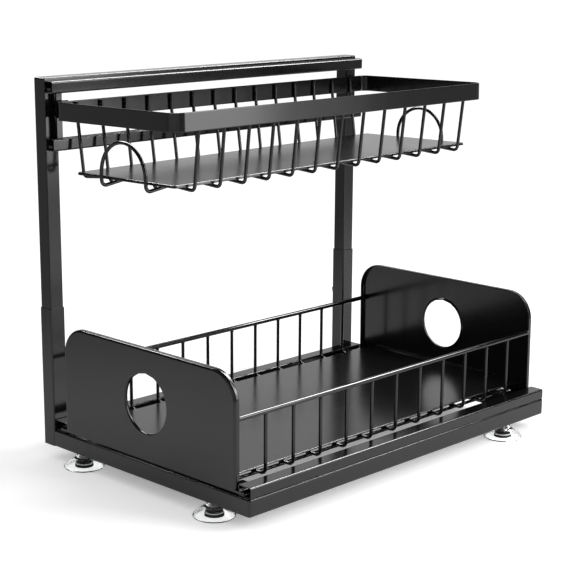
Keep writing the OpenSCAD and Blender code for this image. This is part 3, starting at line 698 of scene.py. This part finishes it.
@dataclass
class Basket:
    """Rim band, side wires and end arches of the basket, above its floor sheet."""

    half: float = 197.8
    front: float = 86.75
    back: float = 242.75
    low: float = 298.1
    band: float = 15.8
    sheet: float = 1.2
    corner: Pair = (12.0, 8.0)
    wire: float = 3.1
    foot_z: float = 249.95
    floor_half: float = 188.0
    arch_wire: float = 3.3
    arch_x: float = 191.85
    arch_y: float = 160.75
    arch_r: float = 28.6
    arch_top: float = 284.8
    tilt: float = -1.3
    tilt_about: Pair = (165.0, 306.0)
    hang: Point = (0.4, 0.0, -0.1)
    overhang: float = 2.2
    skew: float = 2.2
    sag: float = 1.8

    def rim(self, steel: bpy.types.Material) -> bpy.types.Object:
        """Builds the band, its edges rounded.

        Args:
            steel: The coat of the band.

        Returns:
            The band.
        """
        top, t, e = self.low + self.band, self.sheet, 0.45
        section = [(e, self.low), (0.13, self.low + 0.13), (0.0, self.low + e), (0.0, self.low + e + 0.3),
                   (0.0, top - e - 0.3), (0.0, top - e), (0.13, top - 0.13), (e, top),
                   (t - e, top), (t - 0.13, top - 0.13), (t, top - e), (t, top - e - 0.3),
                   (t, self.low + e + 0.3), (t, self.low + e), (t - 0.13, self.low + 0.13), (t - e, self.low)]
        width, depth = 2 * self.half + self.overhang, self.back - self.front
        rows: list[list[Point]] = []
        for inset, z in section:
            front, back = (round_rect(width, depth, r, inset, 16) for r in self.corner)
            plan = [a if a[1] < depth / 2 else b for a, b in zip(front, back)]
            rows.append([(x - self.half, self.front + y, z) for x, y in plan])
        shell = Shell()
        shell.skin(rows, ring=True)
        return piece(shell.mesh("rim_band"), steel, Body.BASKET, Slot.STEEL, "basket_rim")

    def row(self, shop: WireShop, name: str, node: str, y: float, lean: float, count: int,
            end: float) -> bpy.types.Object:
        """Builds the wires of one long side.

        Args:
            shop: Makes the wires.
            name: Name of the piece.
            node: The CAD node that it stands for.
            y: Place of the wires inside the rim.
            lean: Distance that they lean in down to their bends.
            count: How many there are.
            end: Distance of the outer wires from the rim's ends.

        Returns:
            The wires, as one piece.
        """
        x = end - self.half
        way = math.copysign(1.0, lean)
        top = self.low + self.band - 1.0
        line = bent([(x, y, top), (x, y, self.low), (x, y + lean, self.foot_z - self.sag),
                     (x, y + lean + way * 22.0, self.foot_z)], [5.0, 4.5])
        weld = self.foot_z + self.wire / 2 - 0.8
        welds = [(x, y - way * 0.6, self.low + 4.0), (x, y - way * 0.6, top - 3.5),
                 (x, y + lean + way * 10.0, weld)]
        return shop.make(name, [line], welds, self.wire, Body.BASKET, (node,), count, -2 * x / (count - 1), 0.12)

    def arch(self, shop: WireShop, side: Side) -> bpy.types.Object:
        """Builds the arch-shaped wire of one end.

        Args:
            shop: Makes the wires.
            side: The basket's end.

        Returns:
            The wire.
        """
        x, r, z = side.value * self.arch_x, self.arch_r, self.arch_top - self.arch_r
        foot, inner = 249.85, side.value * (self.arch_x - 30.0)
        over = [(x, self.arch_y - a, b) for a, b in arc((0.0, z), r, 0.0, 180.0, 28)]
        left = bent([(inner, self.arch_y - r, foot), (x, self.arch_y - r, foot - 2.3 * self.sag),
                     (x, self.arch_y - r, z)], [4.5])[:-1]
        right = [(a, 2 * self.arch_y - b, c) for a, b, c in reversed(left)]
        name = side.name.lower()
        welds = [(side.value * (self.arch_x - 10.0), self.arch_y + s * r, foot + 0.6) for s in (-1, 1)]
        return shop.make(f"{name}_arch_wire", [left + over + right], welds, self.arch_wire,
                  Body.BASKET, (f"{name}_arch",))

    def build(self, steel: bpy.types.Material, sheet: bpy.types.Material, shop: WireShop) -> None:
        """Builds every piece of the basket.

        Args:
            steel: The coat of the band.
            sheet: The coat of the floor.
            shop: Makes the wires.
        """
        made = [self.rim(steel)]
        made.append(Tray("basket_sheet", Body.BASKET, self.floor_half, 100.7, 227.9, 254.1, 2.5).build(
            sheet, "basket_floor"))
        made.append(self.row(shop, "basket_front_row", "basket_front_wires", 89.6, 6.6, 13, 27.0))
        made.append(self.row(shop, "basket_back_row", "basket_back_wires", 239.9, -6.0, 14, 22.3))
        made += [self.arch(shop, side) for side in Side]
        middle = place((0.0, *self.tilt_about))
        turn = (Matrix.Translation(middle) @ Matrix.Rotation(math.radians(self.tilt), 4, "X")
                @ Matrix.Translation(Vector(self.hang) / 1000 - middle))
        for part in made[1:]:
            for vertex in part.data.vertices:
                ahead = (vertex.co.x - place((-self.half, 0.0, 0.0)).x) / (self.half / 500)
                under = (place((0.0, 0.0, self.low)).z - vertex.co.z) / ((self.low - self.foot_z) / 1000)
                vertex.co.z += self.skew / 1000 * ahead * min(max(under, 0.0), 1.0)
        for part in made:
            part.data.transform(turn)
            part.data.update()


@dataclass
class Drawer:
    """Floor sheet, end panels and wires of the drawer."""

    mid_y: float = 126.75
    reach: float = 107.45
    top_z: float = 77.8
    top_d: float = 4.5
    thin_d: float = 3.1
    foot_z: float = 24.0
    end_x: float = 194.5
    pitch: float = 32.6
    back_pitch: float = 32.06
    back_shift: float = 2.9
    rise: float = 1.5
    count: int = 11

    def side(self, shop: WireShop, name: str, way: int) -> None:
        """Builds the wires of one long side.

        Args:
            shop: Makes the wires.
            name: front or back.
            way: Sign of Y towards that side.
        """
        pitch, shift = (self.pitch, 0.0) if way < 0 else (self.back_pitch, self.back_shift)
        y, x = self.mid_y + way * self.reach, shift - pitch * (self.count - 1) / 2
        line = bent([(x, y, self.top_z - 0.6), (x, y, self.foot_z), (x, y - way * 34.0, self.foot_z)], [5.0])
        welds = [(x, y, self.top_z - self.top_d / 2), (x, y - way * 14.5, self.foot_z - 1.6),
                 (x, y - way * 20.0, self.foot_z + 1.3)]
        shop.make(f"{name}_uprights", [line], welds, self.thin_d, Body.DRAWER,
                  (f"drawer_{name}_uprights",), self.count, pitch, 0.12)
        for part, z, reach, thick in (("top", self.top_z, 0.0, self.top_d),
                                      ("foot", 20.8, 14.5, self.thin_d)):
            at = y - way * reach
            rise = self.rise if (way, part) == (-1, "top") else 0.0
            ends = [(-self.end_x - 0.2, at, z), (self.end_x + 0.2, at, z + rise)]
            welds = [] if part == "foot" else ends
            shop.make(f"{name}_{part}_bar", [ends], welds, thick, Body.DRAWER,
                      (f"drawer_{name}_{part}_wire",))

    def gusset(self, steel: bpy.types.Material, side: Side) -> None:
        """Builds the small plate in the corner between a panel's foot and the front foot wire.

        Args:
            steel: The coat of the plate.
            side: The drawer's end.
        """
        shell = Shell()
        shell.skin([[(side.value * (175.5 + x), 17.4 + y, z) for x, y in round_rect(20.0, 16.0, 2.0, inset, 6)]
                    for inset, z in ((0.3, 17.5), (0.0, 17.8), (0.0, 18.4), (0.3, 18.7))], ring=False)
        piece(shell.mesh(f"{side.name.lower()}_gusset"), steel, Body.DRAWER, Slot.STEEL)

    def build(self, steel: bpy.types.Material, sheet: bpy.types.Material, shop: WireShop) -> None:
        """Builds every piece of the drawer.

        Args:
            steel: The coat of the panels.
            sheet: The coat of the floor.
            shop: Makes the wires.
        """
        EndPanel(Side.LEFT, hole_r=26.3).build(steel)
        EndPanel(Side.RIGHT, hole_r=24.3, rack=(0.8, 1.7)).build(steel)
        Tray("drawer_sheet", Body.DRAWER, self.end_x, 30.3, 223.2, 27.05, 1.4).build(sheet, "drawer_floor")
        self.side(shop, "front", -1)
        self.side(shop, "back", 1)
        for side in Side:
            self.gusset(steel, side)


@dataclass
class Foot:
    """Soft clear suction foot, turned about the axis of its stud."""

    name: str
    x: float
    y: float
    height: float = 13.0
    cup_r: float = 18.2
    core_r: float = 6.9
    washer_r: float = 8.0
    # Radius of the black ring that paints the shadow under the cup.
    pad_r: float = 8.3
    stud_r: float = 2.0

    def profile(self) -> list[Pair]:
        """Radius and height of the turned outline, from the bore's bottom round to the hollow."""
        bore, r = self.stud_r + 0.1, self.cup_r
        return [(bore, 6.9), (bore, 8.9), (5.6, 8.9), (5.6, 12.9), (5.8, 13.0), (6.65, 13.0), (7.0, 12.85),
                (7.15, 12.5), (7.15, 11.0), (7.3, 10.6), (7.65, 10.2), (9.4, 8.9), (11.4, 7.4), (13.4, 5.8),
                (15.4, 4.1), (16.9, 2.8), (r - 0.5, 2.1), (r - 0.1, 1.7), (r, 1.3), (r - 0.1, 0.85),
                (r - 0.5, 0.35), (r - 1.1, 0.05), (r - 1.6, 0.0), (r - 2.1, 0.25), (15.0, 2.2), (13.2, 3.8),
                (11.4, 5.3), (9.9, 6.5), (8.9, 7.4), (8.3, 7.9), (7.8, 8.1), (4.1, 8.1), (3.7, 7.9),
                (3.6, 7.5), (3.6, 6.4)]

    def ring(self, inner: float, radius: float, low: float, high: float) -> list[Pair]:
        """Returns radius and height of a ring's outline, its outer edges rounded."""
        return [(inner, low), (radius - 0.3, low), (radius - 0.08, low + 0.08), (radius, low + 0.3),
                (radius, high - 0.3), (radius - 0.08, high - 0.08), (radius - 0.3, high), (inner, high)]

    def build(self, clear: bpy.types.Material, black: bpy.types.Material,
              zinc: bpy.types.Material) -> None:
        """Builds the foot, and the core, the washer and the dark ring of painted shadow under the cup, which
        show through it.

        Args:
            clear: The clear finish.
            black: The finish of the core and of the painted-shadow ring.
            zinc: The finish of the washer.
        """
        shell = Shell()
        rows = [[(self.x + r * math.cos(a), self.y + r * math.sin(a), z - self.height)
                 for a in (math.tau * k / 64 for k in range(64))] for r, z in self.profile()]
        shell.skin(rows, ring=False)
        piece(shell.mesh(self.name + "_cup", 40.0), clear, Body.BASE, Slot.CLEAR, self.name + "_foot")
        for name, sizes, coat, slot in (
                ("core", self.ring(3.8, self.core_r, 4.3, 7.4), black, Slot.PLASTIC),
                ("washer", self.ring(2.6, self.washer_r, 2.9, 4.25), zinc, Slot.ZINC),
                # The black ring under the washer is painted shadow: a dark disc where the cup's shadow falls.
                ("pad", self.ring(2.6, self.pad_r, 0.3, 2.85), black, Slot.PLASTIC)):
            ring = Shell()
            ring.skin([[(self.x + r * math.cos(a), self.y + r * math.sin(a), z - self.height)
                        for a in (math.tau * k / 48 for k in range(48))] for r, z in sizes], ring=True)
            piece(ring.mesh(f"{self.name}_{name}", 40.0), coat, Body.BASE, slot)


@dataclass(frozen=True)
class Coat:
    """A satin black coat on steel, with the fine orange peel of baked powder.

    Attributes:
        name: Name of the material.
        colour: Base colour in linear light.
        roughness: Mean roughness.
        spread: How far the roughness wanders from its mean.
        peel: Height of the orange peel, as a bump strength.
        peel_scale: Waves of the orange peel per metre.
    """

    name: str
    colour: float = 0.002
    roughness: float = 0.16
    spread: float = 0.03
    peel: float = 0.03
    peel_scale: float = 900.0

    def material(self) -> bpy.types.Material:
        """Builds the material.

        Returns:
            The finished material.
        """
        material = bpy.data.materials.new(self.name)
        material.use_nodes = True
        tree = Tree(material.node_tree)
        shader = material.node_tree.nodes["Principled BSDF"]
        shader.inputs["Base Color"].default_value = grey(self.colour)
        shader.inputs["IOR"].default_value = 1.5
        place = tree.add("ShaderNodeTexCoord")
        noise = tree.add("ShaderNodeTexNoise", Scale=self.peel_scale, Detail=2.0)
        cloud = tree.add("ShaderNodeTexNoise", Scale=40.0, Detail=3.0)
        level = tree.add("ShaderNodeMapRange")
        level.inputs["To Min"].default_value = self.roughness - self.spread
        level.inputs["To Max"].default_value = self.roughness + self.spread
        bump = tree.add("ShaderNodeBump", Strength=self.peel, Distance=0.0002)
        tree.link(place.outputs["Object"], noise.inputs["Vector"])
        tree.link(place.outputs["Object"], cloud.inputs["Vector"])
        tree.link(cloud.outputs["Fac"], level.inputs["Value"])
        tree.link(level.outputs["Result"], shader.inputs["Roughness"])
        tree.link(noise.outputs["Fac"], bump.inputs["Height"])
        tree.link(bump.outputs["Normal"], shader.inputs["Normal"])
        return material


@dataclass(frozen=True)
class ClearVinyl:
    """The clear soft vinyl of the suction feet."""

    name: str = "clear_vinyl"
    tint: tuple[float, float, float, float] = (0.97, 0.98, 0.98, 1.0)

    def material(self) -> bpy.types.Material:
        """Builds the material.

        Returns:
            The finished material.
        """
        material = bpy.data.materials.new(self.name)
        material.use_nodes = True
        tree = Tree(material.node_tree)
        shader = material.node_tree.nodes["Principled BSDF"]
        shader.inputs["Base Color"].default_value = self.tint
        shader.inputs["IOR"].default_value = 1.48
        shader.inputs["Transmission Weight"].default_value = 1.0
        place = tree.add("ShaderNodeTexCoord")
        cloud = tree.add("ShaderNodeTexNoise", Scale=160.0, Detail=3.0)
        level = tree.add("ShaderNodeMapRange")
        level.inputs["To Min"].default_value = 0.0
        level.inputs["To Max"].default_value = 0.02
        tree.link(place.outputs["Object"], cloud.inputs["Vector"])
        tree.link(cloud.outputs["Fac"], level.inputs["Value"])
        tree.link(level.outputs["Result"], shader.inputs["Roughness"])
        return material


@dataclass(frozen=True)
class Plate:
    """Zinc plating on screws, studs and rivets."""

    name: str = "zinc_plate"
    colour: float = 0.62
    roughness: float = 0.26

    def material(self) -> bpy.types.Material:
        """Builds the material.

        Returns:
            The finished material.
        """
        material = bpy.data.materials.new(self.name)
        material.use_nodes = True
        tree = Tree(material.node_tree)
        shader = material.node_tree.nodes["Principled BSDF"]
        shader.inputs["Base Color"].default_value = grey(self.colour)
        shader.inputs["Metallic"].default_value = 1.0
        place = tree.add("ShaderNodeTexCoord")
        noise = tree.add("ShaderNodeTexNoise", Scale=1500.0, Detail=3.0)
        level = tree.add("ShaderNodeMapRange")
        level.inputs["To Min"].default_value = self.roughness - 0.1
        level.inputs["To Max"].default_value = self.roughness + 0.1
        tree.link(place.outputs["Object"], noise.inputs["Vector"])
        tree.link(noise.outputs["Fac"], level.inputs["Value"])
        tree.link(level.outputs["Result"], shader.inputs["Roughness"])
        return material


@dataclass
class Finishes:
    """The materials of the object, one for each slot of the record."""

    steel: Coat = field(default_factory=lambda: Coat("powder_coat"))
    sheet: Coat = field(default_factory=lambda: Coat("sheet_coat", roughness=0.21))
    wire: Coat = field(default_factory=lambda: Coat("wire_coat", colour=0.002, roughness=0.08))
    plastic: Coat = field(default_factory=lambda: Coat("nylon", roughness=0.5, peel=0.1))
    clear: ClearVinyl = field(default_factory=ClearVinyl)
    zinc: Plate = field(default_factory=Plate)

    def by_slot(self) -> dict[Slot, bpy.types.Material]:
        """Builds every material once.

        Returns:
            The material of each slot.
        """
        return {
            Slot.STEEL: self.steel.material(),
            Slot.WIRE: self.wire.material(),
            Slot.PLASTIC: self.plastic.material(),
            Slot.CLEAR: self.clear.material(),
            Slot.ZINC: self.zinc.material(),
        }


@dataclass
class Dresser:
    """Gives the carried-over CAD nodes their finishes.

    Attributes:
        nodes: The CAD nodes by name.
        slots: The record's slot of each node.
        materials: The material of each slot.
    """

    nodes: dict[str, bpy.types.Object]
    slots: dict[str, Slot]
    materials: dict[Slot, bpy.types.Material]

    def dress(self) -> None:
        """Assigns each node's material to its slots."""
        for name, node in self.nodes.items():
            node.data.materials.clear()
            node.data.materials.append(self.materials[self.slots[name]])
        log.info("dressed %d carried-over nodes", len(self.nodes))


@dataclass
class Studio:
    """A white floor, soft light and the photograph's camera.

    Attributes:
        camera_at: Place of the camera.
        yaw: Heading of the view from +Y towards +X, in degrees.
        pitch: Rise of the view, in degrees.
        roll: Roll of the view, in degrees.
        focal_px: Focal length in pixels of the photograph's frame.
        centre_px: Pixel of the optical axis in that frame.
        floor_side: Side of the floor.
        floor_lift: Light added to the floor where the camera sees it.
        floor_clear: The same where it is seen through clear parts.
        floor_mid: Middle of the painted pool of light on the floor, as mirrored.
        floor_near: Distance from it where the painted light begins to fade into painted shade.
        floor_far: Distance where the painted shade is darkest.
        floor_mirrored: The floor's painted brightness, as mirrored, near the object.
        floor_dim: Its painted brightness where the painted shade is darkest.
        ambient: Brightness of the surround as it lights matt surfaces.
        sweep: Brightness of the white sweep behind the object, as the object mirrors it.
        sweep_full: Cosine of the angle from the view's heading where the sweep begins to fade.
        sweep_end: Cosine of the angle where it has gone.
        dark: Brightness of the rest of the room.
        card_r: Distance of the black card from the middle.
        card_h: Height of the black card.
        card_from: Heading from +X towards +Y where the card starts, in degrees.
        card_to: Heading where the card ends.
    """

    camera_at: Point = (-1.007683, -0.972572, 0.469418)
    yaw: float = 46.4352
    pitch: float = -14.2496
    roll: float = 0.6102
    focal_px: float = 1554.475
    centre_px: Pair = (310.57, 325.42)
    floor_side: float = 40.0
    floor_lift: float = 0.3
    floor_clear: float = 0.8
    floor_mid: Pair = (0.13, -0.16)
    floor_near: float = 0.45
    floor_far: float = 1.15
    floor_mirrored: float = 1.0
    floor_dim: float = 0.4
    ambient: float = 0.8
    sweep: float = 0.8
    sweep_full: float = 0.85
    sweep_end: float = 0.5
    dark: float = 0.06
    card_r: float = 0.95
    card_h: float = 0.5
    card_from: int = 170
    card_to: int = 240

    def build(self) -> None:
        """Builds the camera, floor, world and softboxes."""
        self.camera()
        self.floor()
        self.world()
        self.card()
        self.softbox("front", (0.42, -0.85, 0.7), (0.42, 0.0, 0.7), (0.48, 1.2), 4.2)
        self.softbox("crown", (0.42, -0.84, 0.85), (0.42, 0.0, 0.85), (0.5, 1.0), 6.0)
        self.softbox("flank", (0.8, -0.85, 0.7), (0.8, 0.0, 0.7), (0.28, 1.2), 0.9)
        self.softbox("fill", (0.9, -1.6, 1.2), (0.0, 0.0, 0.0), (1.0, 1.0), 10.0, mirrored=False)
        self.softbox("strip", (0.65, 0.27, 1.35), (0.15, -0.15, 0.2), (3.2, 0.3), 32.0)

    def camera(self) -> None:
        """Places the camera."""
        data = bpy.data.cameras.new("camera")
        data.sensor_width = 36.0
        data.lens = self.focal_px / IMAGE_SIDE_PX * data.sensor_width
        half = IMAGE_SIDE_PX / 2
        data.shift_x = (half - self.centre_px[0]) / IMAGE_SIDE_PX
        data.shift_y = (self.centre_px[1] - half) / IMAGE_SIDE_PX
        data.clip_end = 100.0
        camera = bpy.data.objects.new("camera", data)
        bpy.context.scene.collection.objects.link(camera)
        turn = (Matrix.Rotation(math.radians(-self.yaw), 4, "Z")
                @ Matrix.Rotation(math.radians(90.0 + self.pitch), 4, "X")
                @ Matrix.Rotation(math.radians(self.roll), 4, "Z"))
        camera.matrix_world = Matrix.Translation(Vector(self.camera_at)) @ turn
        bpy.context.scene.camera = camera

    def floor(self) -> None:
        """Builds the pale floor, which looks white to the camera and keeps the shadow."""
        half = self.floor_side / 2
        mesh = bpy.data.meshes.new("floor")
        corners = [(-half, -half, 0.0), (half, -half, 0.0), (half, half, 0.0), (-half, half, 0.0)]
        mesh.from_pydata(corners, [], [(0, 1, 2, 3)])
        mesh.materials.append(self.floor_material())
        floor = bpy.data.objects.new("floor", mesh)
        bpy.context.scene.collection.objects.link(floor)

    def floor_material(self) -> bpy.types.Material:
        """Builds the floor's matt white, lifted to full white where the camera sees it, with painted light in
        its mirrored colour.

        Returns:
            The floor's material.
        """
        material = bpy.data.materials.new("floor_white")
        material.use_nodes = True
        tree = Tree(material.node_tree)
        tree.tree.nodes.clear()
        out = tree.add("ShaderNodeOutputMaterial")
        matt = tree.add("ShaderNodeBsdfDiffuse")
        where = tree.add("ShaderNodeTexCoord")
        away = tree.add("ShaderNodeVectorMath", operation="DISTANCE")
        away.inputs[1].default_value = (*self.floor_mid, 0.0)
        fall = tree.add("ShaderNodeMapRange", interpolation_type="SMOOTHSTEP")
        for label, value in (("From Min", self.floor_near), ("From Max", self.floor_far),
                             ("To Min", 0.0), ("To Max", 1.0)):
            fall.inputs[label].default_value = value
        path = tree.add("ShaderNodeLightPath")
        # Painted light: to mirrors, the floor's colour is a pool of light round floor_mid that fades to painted
        # shade further out.
        dim = tree.add("ShaderNodeMix", data_type="RGBA")
        dim.inputs[6].default_value = grey(self.floor_mirrored)
        dim.inputs[7].default_value = grey(self.floor_dim)
        tone = tree.add("ShaderNodeMix", data_type="RGBA")
        tone.inputs[6].default_value = grey(0.9)
        tree.link(where.outputs["Object"], away.inputs[0])
        tree.link(away.outputs["Value"], fall.inputs["Value"])
        tree.link(fall.outputs["Result"], dim.inputs[0])
        tree.link(path.outputs["Is Glossy Ray"], tone.inputs[0])
        tree.link(dim.outputs[2], tone.inputs[7])
        tree.link(tone.outputs[2], matt.inputs["Color"])
        total = tree.add("ShaderNodeAddShader")
        glow = tree.add("ShaderNodeEmission")
        tree.link(self.glow(tree), glow.inputs["Strength"])
        tree.link(matt.outputs[0], total.inputs[0])
        tree.link(glow.outputs[0], total.inputs[1])
        tree.link(total.outputs[0], out.inputs["Surface"])
        return material

    def glow(self, tree: Tree) -> bpy.types.NodeSocket:
        """Adds nodes for the light that the floor gives to each kind of ray.

        Args:
            tree: The tree under construction.

        Returns:
            The socket that gives its strength.
        """
        path = tree.add("ShaderNodeLightPath")
        seen = tree.add("ShaderNodeMath", operation="MULTIPLY")
        seen.inputs[1].default_value = self.floor_lift
        total = tree.add("ShaderNodeMath", operation="MULTIPLY_ADD")
        total.inputs[1].default_value = self.floor_clear
        tree.link(path.outputs["Is Camera Ray"], seen.inputs[0])
        tree.link(path.outputs["Is Transmission Ray"], total.inputs[0])
        tree.link(seen.outputs[0], total.inputs[2])
        return total.outputs[0]

    def world(self) -> None:
        """Builds a surround that is white to the camera and, to mirrors, only behind the object."""
        world = bpy.data.worlds.new("studio")
        bpy.context.scene.world = world
        world.use_nodes = True
        tree = Tree(world.node_tree)
        back = world.node_tree.nodes["Background"]
        back.inputs["Color"].default_value = grey(1.0)
        way = tree.add("ShaderNodeTexCoord")
        ahead = tree.add("ShaderNodeVectorMath", operation="DOT_PRODUCT")
        heading = math.radians(self.yaw)
        ahead.inputs[1].default_value = (math.sin(heading), math.cos(heading), 0.0)
        sweep = tree.add("ShaderNodeMapRange", interpolation_type="SMOOTHSTEP")
        for label, value in (("From Min", self.sweep_end), ("From Max", self.sweep_full),
                             ("To Min", self.dark), ("To Max", self.sweep)):
            sweep.inputs[label].default_value = value
        path = tree.add("ShaderNodeLightPath")
        soft = tree.add("ShaderNodeMix", data_type="FLOAT")
        soft.inputs[2].default_value = 1.0
        soft.inputs[3].default_value = self.ambient
        white = tree.add("ShaderNodeMix", data_type="FLOAT")
        tree.link(path.outputs["Is Diffuse Ray"], soft.inputs[0])
        tree.link(soft.outputs[0], white.inputs[2])
        tree.link(way.outputs["Generated"], ahead.inputs[0])
        tree.link(ahead.outputs["Value"], sweep.inputs["Value"])
        tree.link(path.outputs["Is Glossy Ray"], white.inputs[0])
        tree.link(sweep.outputs["Result"], white.inputs[3])
        tree.link(white.outputs[0], back.inputs["Strength"])

    def softbox(self, name: str, at: Point, towards: Point, size: Pair, radiance: float,
                mirrored: bool = True) -> None:
        """Hangs a softbox that is mirrored in the coats, or one that lights only matt surfaces.

        Args:
            name: Name of the lamp.
            at: Its middle.
            towards: The point that it faces.
            size: Its width and height.
            radiance: Its brightness where white is one.
            mirrored: Whether it is mirrored. If not, it lights matt surfaces.
        """
        data = bpy.data.lights.new(name, "AREA")
        data.shape = "RECTANGLE"
        data.size, data.size_y = size
        data.energy = radiance * math.pi * size[0] * size[1]
        lamp = bpy.data.objects.new(name, data)
        bpy.context.scene.collection.objects.link(lamp)
        lamp.location = at
        way = Vector(towards) - Vector(at)
        lamp.rotation_euler = way.to_track_quat("-Z", "Y").to_euler()
        lamp.visible_camera = False
        lamp.visible_diffuse = not mirrored
        lamp.visible_glossy = mirrored

    def card(self) -> None:
        """Stands a black card at the camera's left, which only mirrors show."""
        mesh = bpy.data.meshes.new("card")
        corners: list[Point] = []
        for angle in range(self.card_from, self.card_to + 1, 10):
            a = math.radians(angle)
            corners += [(self.card_r * math.cos(a), self.card_r * math.sin(a), z) for z in (0.0, self.card_h)]
        faces = [(i, i + 2, i + 3, i + 1) for i in range(0, len(corners) - 2, 2)]
        mesh.from_pydata(corners, [], faces)
        black = bpy.data.materials.new("card_black")
        black.use_nodes = True
        black.node_tree.nodes["Principled BSDF"].inputs["Base Color"].default_value = grey(0.55)
        black.node_tree.nodes["Principled BSDF"].inputs["Roughness"].default_value = 1.0
        mesh.materials.append(black)
        card = bpy.data.objects.new("card", mesh)
        bpy.context.scene.collection.objects.link(card)
        for kind in ("camera", "diffuse", "transmission", "shadow"):
            setattr(card, "visible_" + kind, False)


def slots_of(record: dict) -> dict[str, Slot]:
    """Reads the material slot of each node.

    Args:
        record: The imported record.

    Returns:
        The slot of each node by name.
    """
    return {row["node"]: Slot(row["material_slot"]) for row in record["subparts"]}


def main() -> None:
    """Builds the whole scene around the frame."""
    logging.basicConfig(level=logging.INFO, format="%(name)s: %(message)s")
    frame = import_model()
    bpy.context.scene.view_settings.view_transform = "Standard"
    Studio().build()
    finishes = Finishes()
    coats = finishes.by_slot()
    Dresser(frame["nodes"], slots_of(frame["record"]), coats).dress()
    steel = coats[Slot.STEEL]
    shop = WireShop(WireTree().build(), coats[Slot.WIRE])
    BaseFrame().build(steel)
    RearFrame().build(steel)
    sheet = finishes.sheet.material()
    Drawer().build(steel, sheet, shop)
    Basket().build(steel, sheet, shop)
    for name, x, y in (("front_left", -192.25, 49.5), ("back_left", -192.25, 221.0),
                       ("front_right", 146.0, 7.75), ("back_right", 146.0, 261.25)):
        Foot(name, x, y).build(coats[Slot.CLEAR], coats[Slot.PLASTIC], coats[Slot.ZINC])


if __name__ == "__main__":
    main()
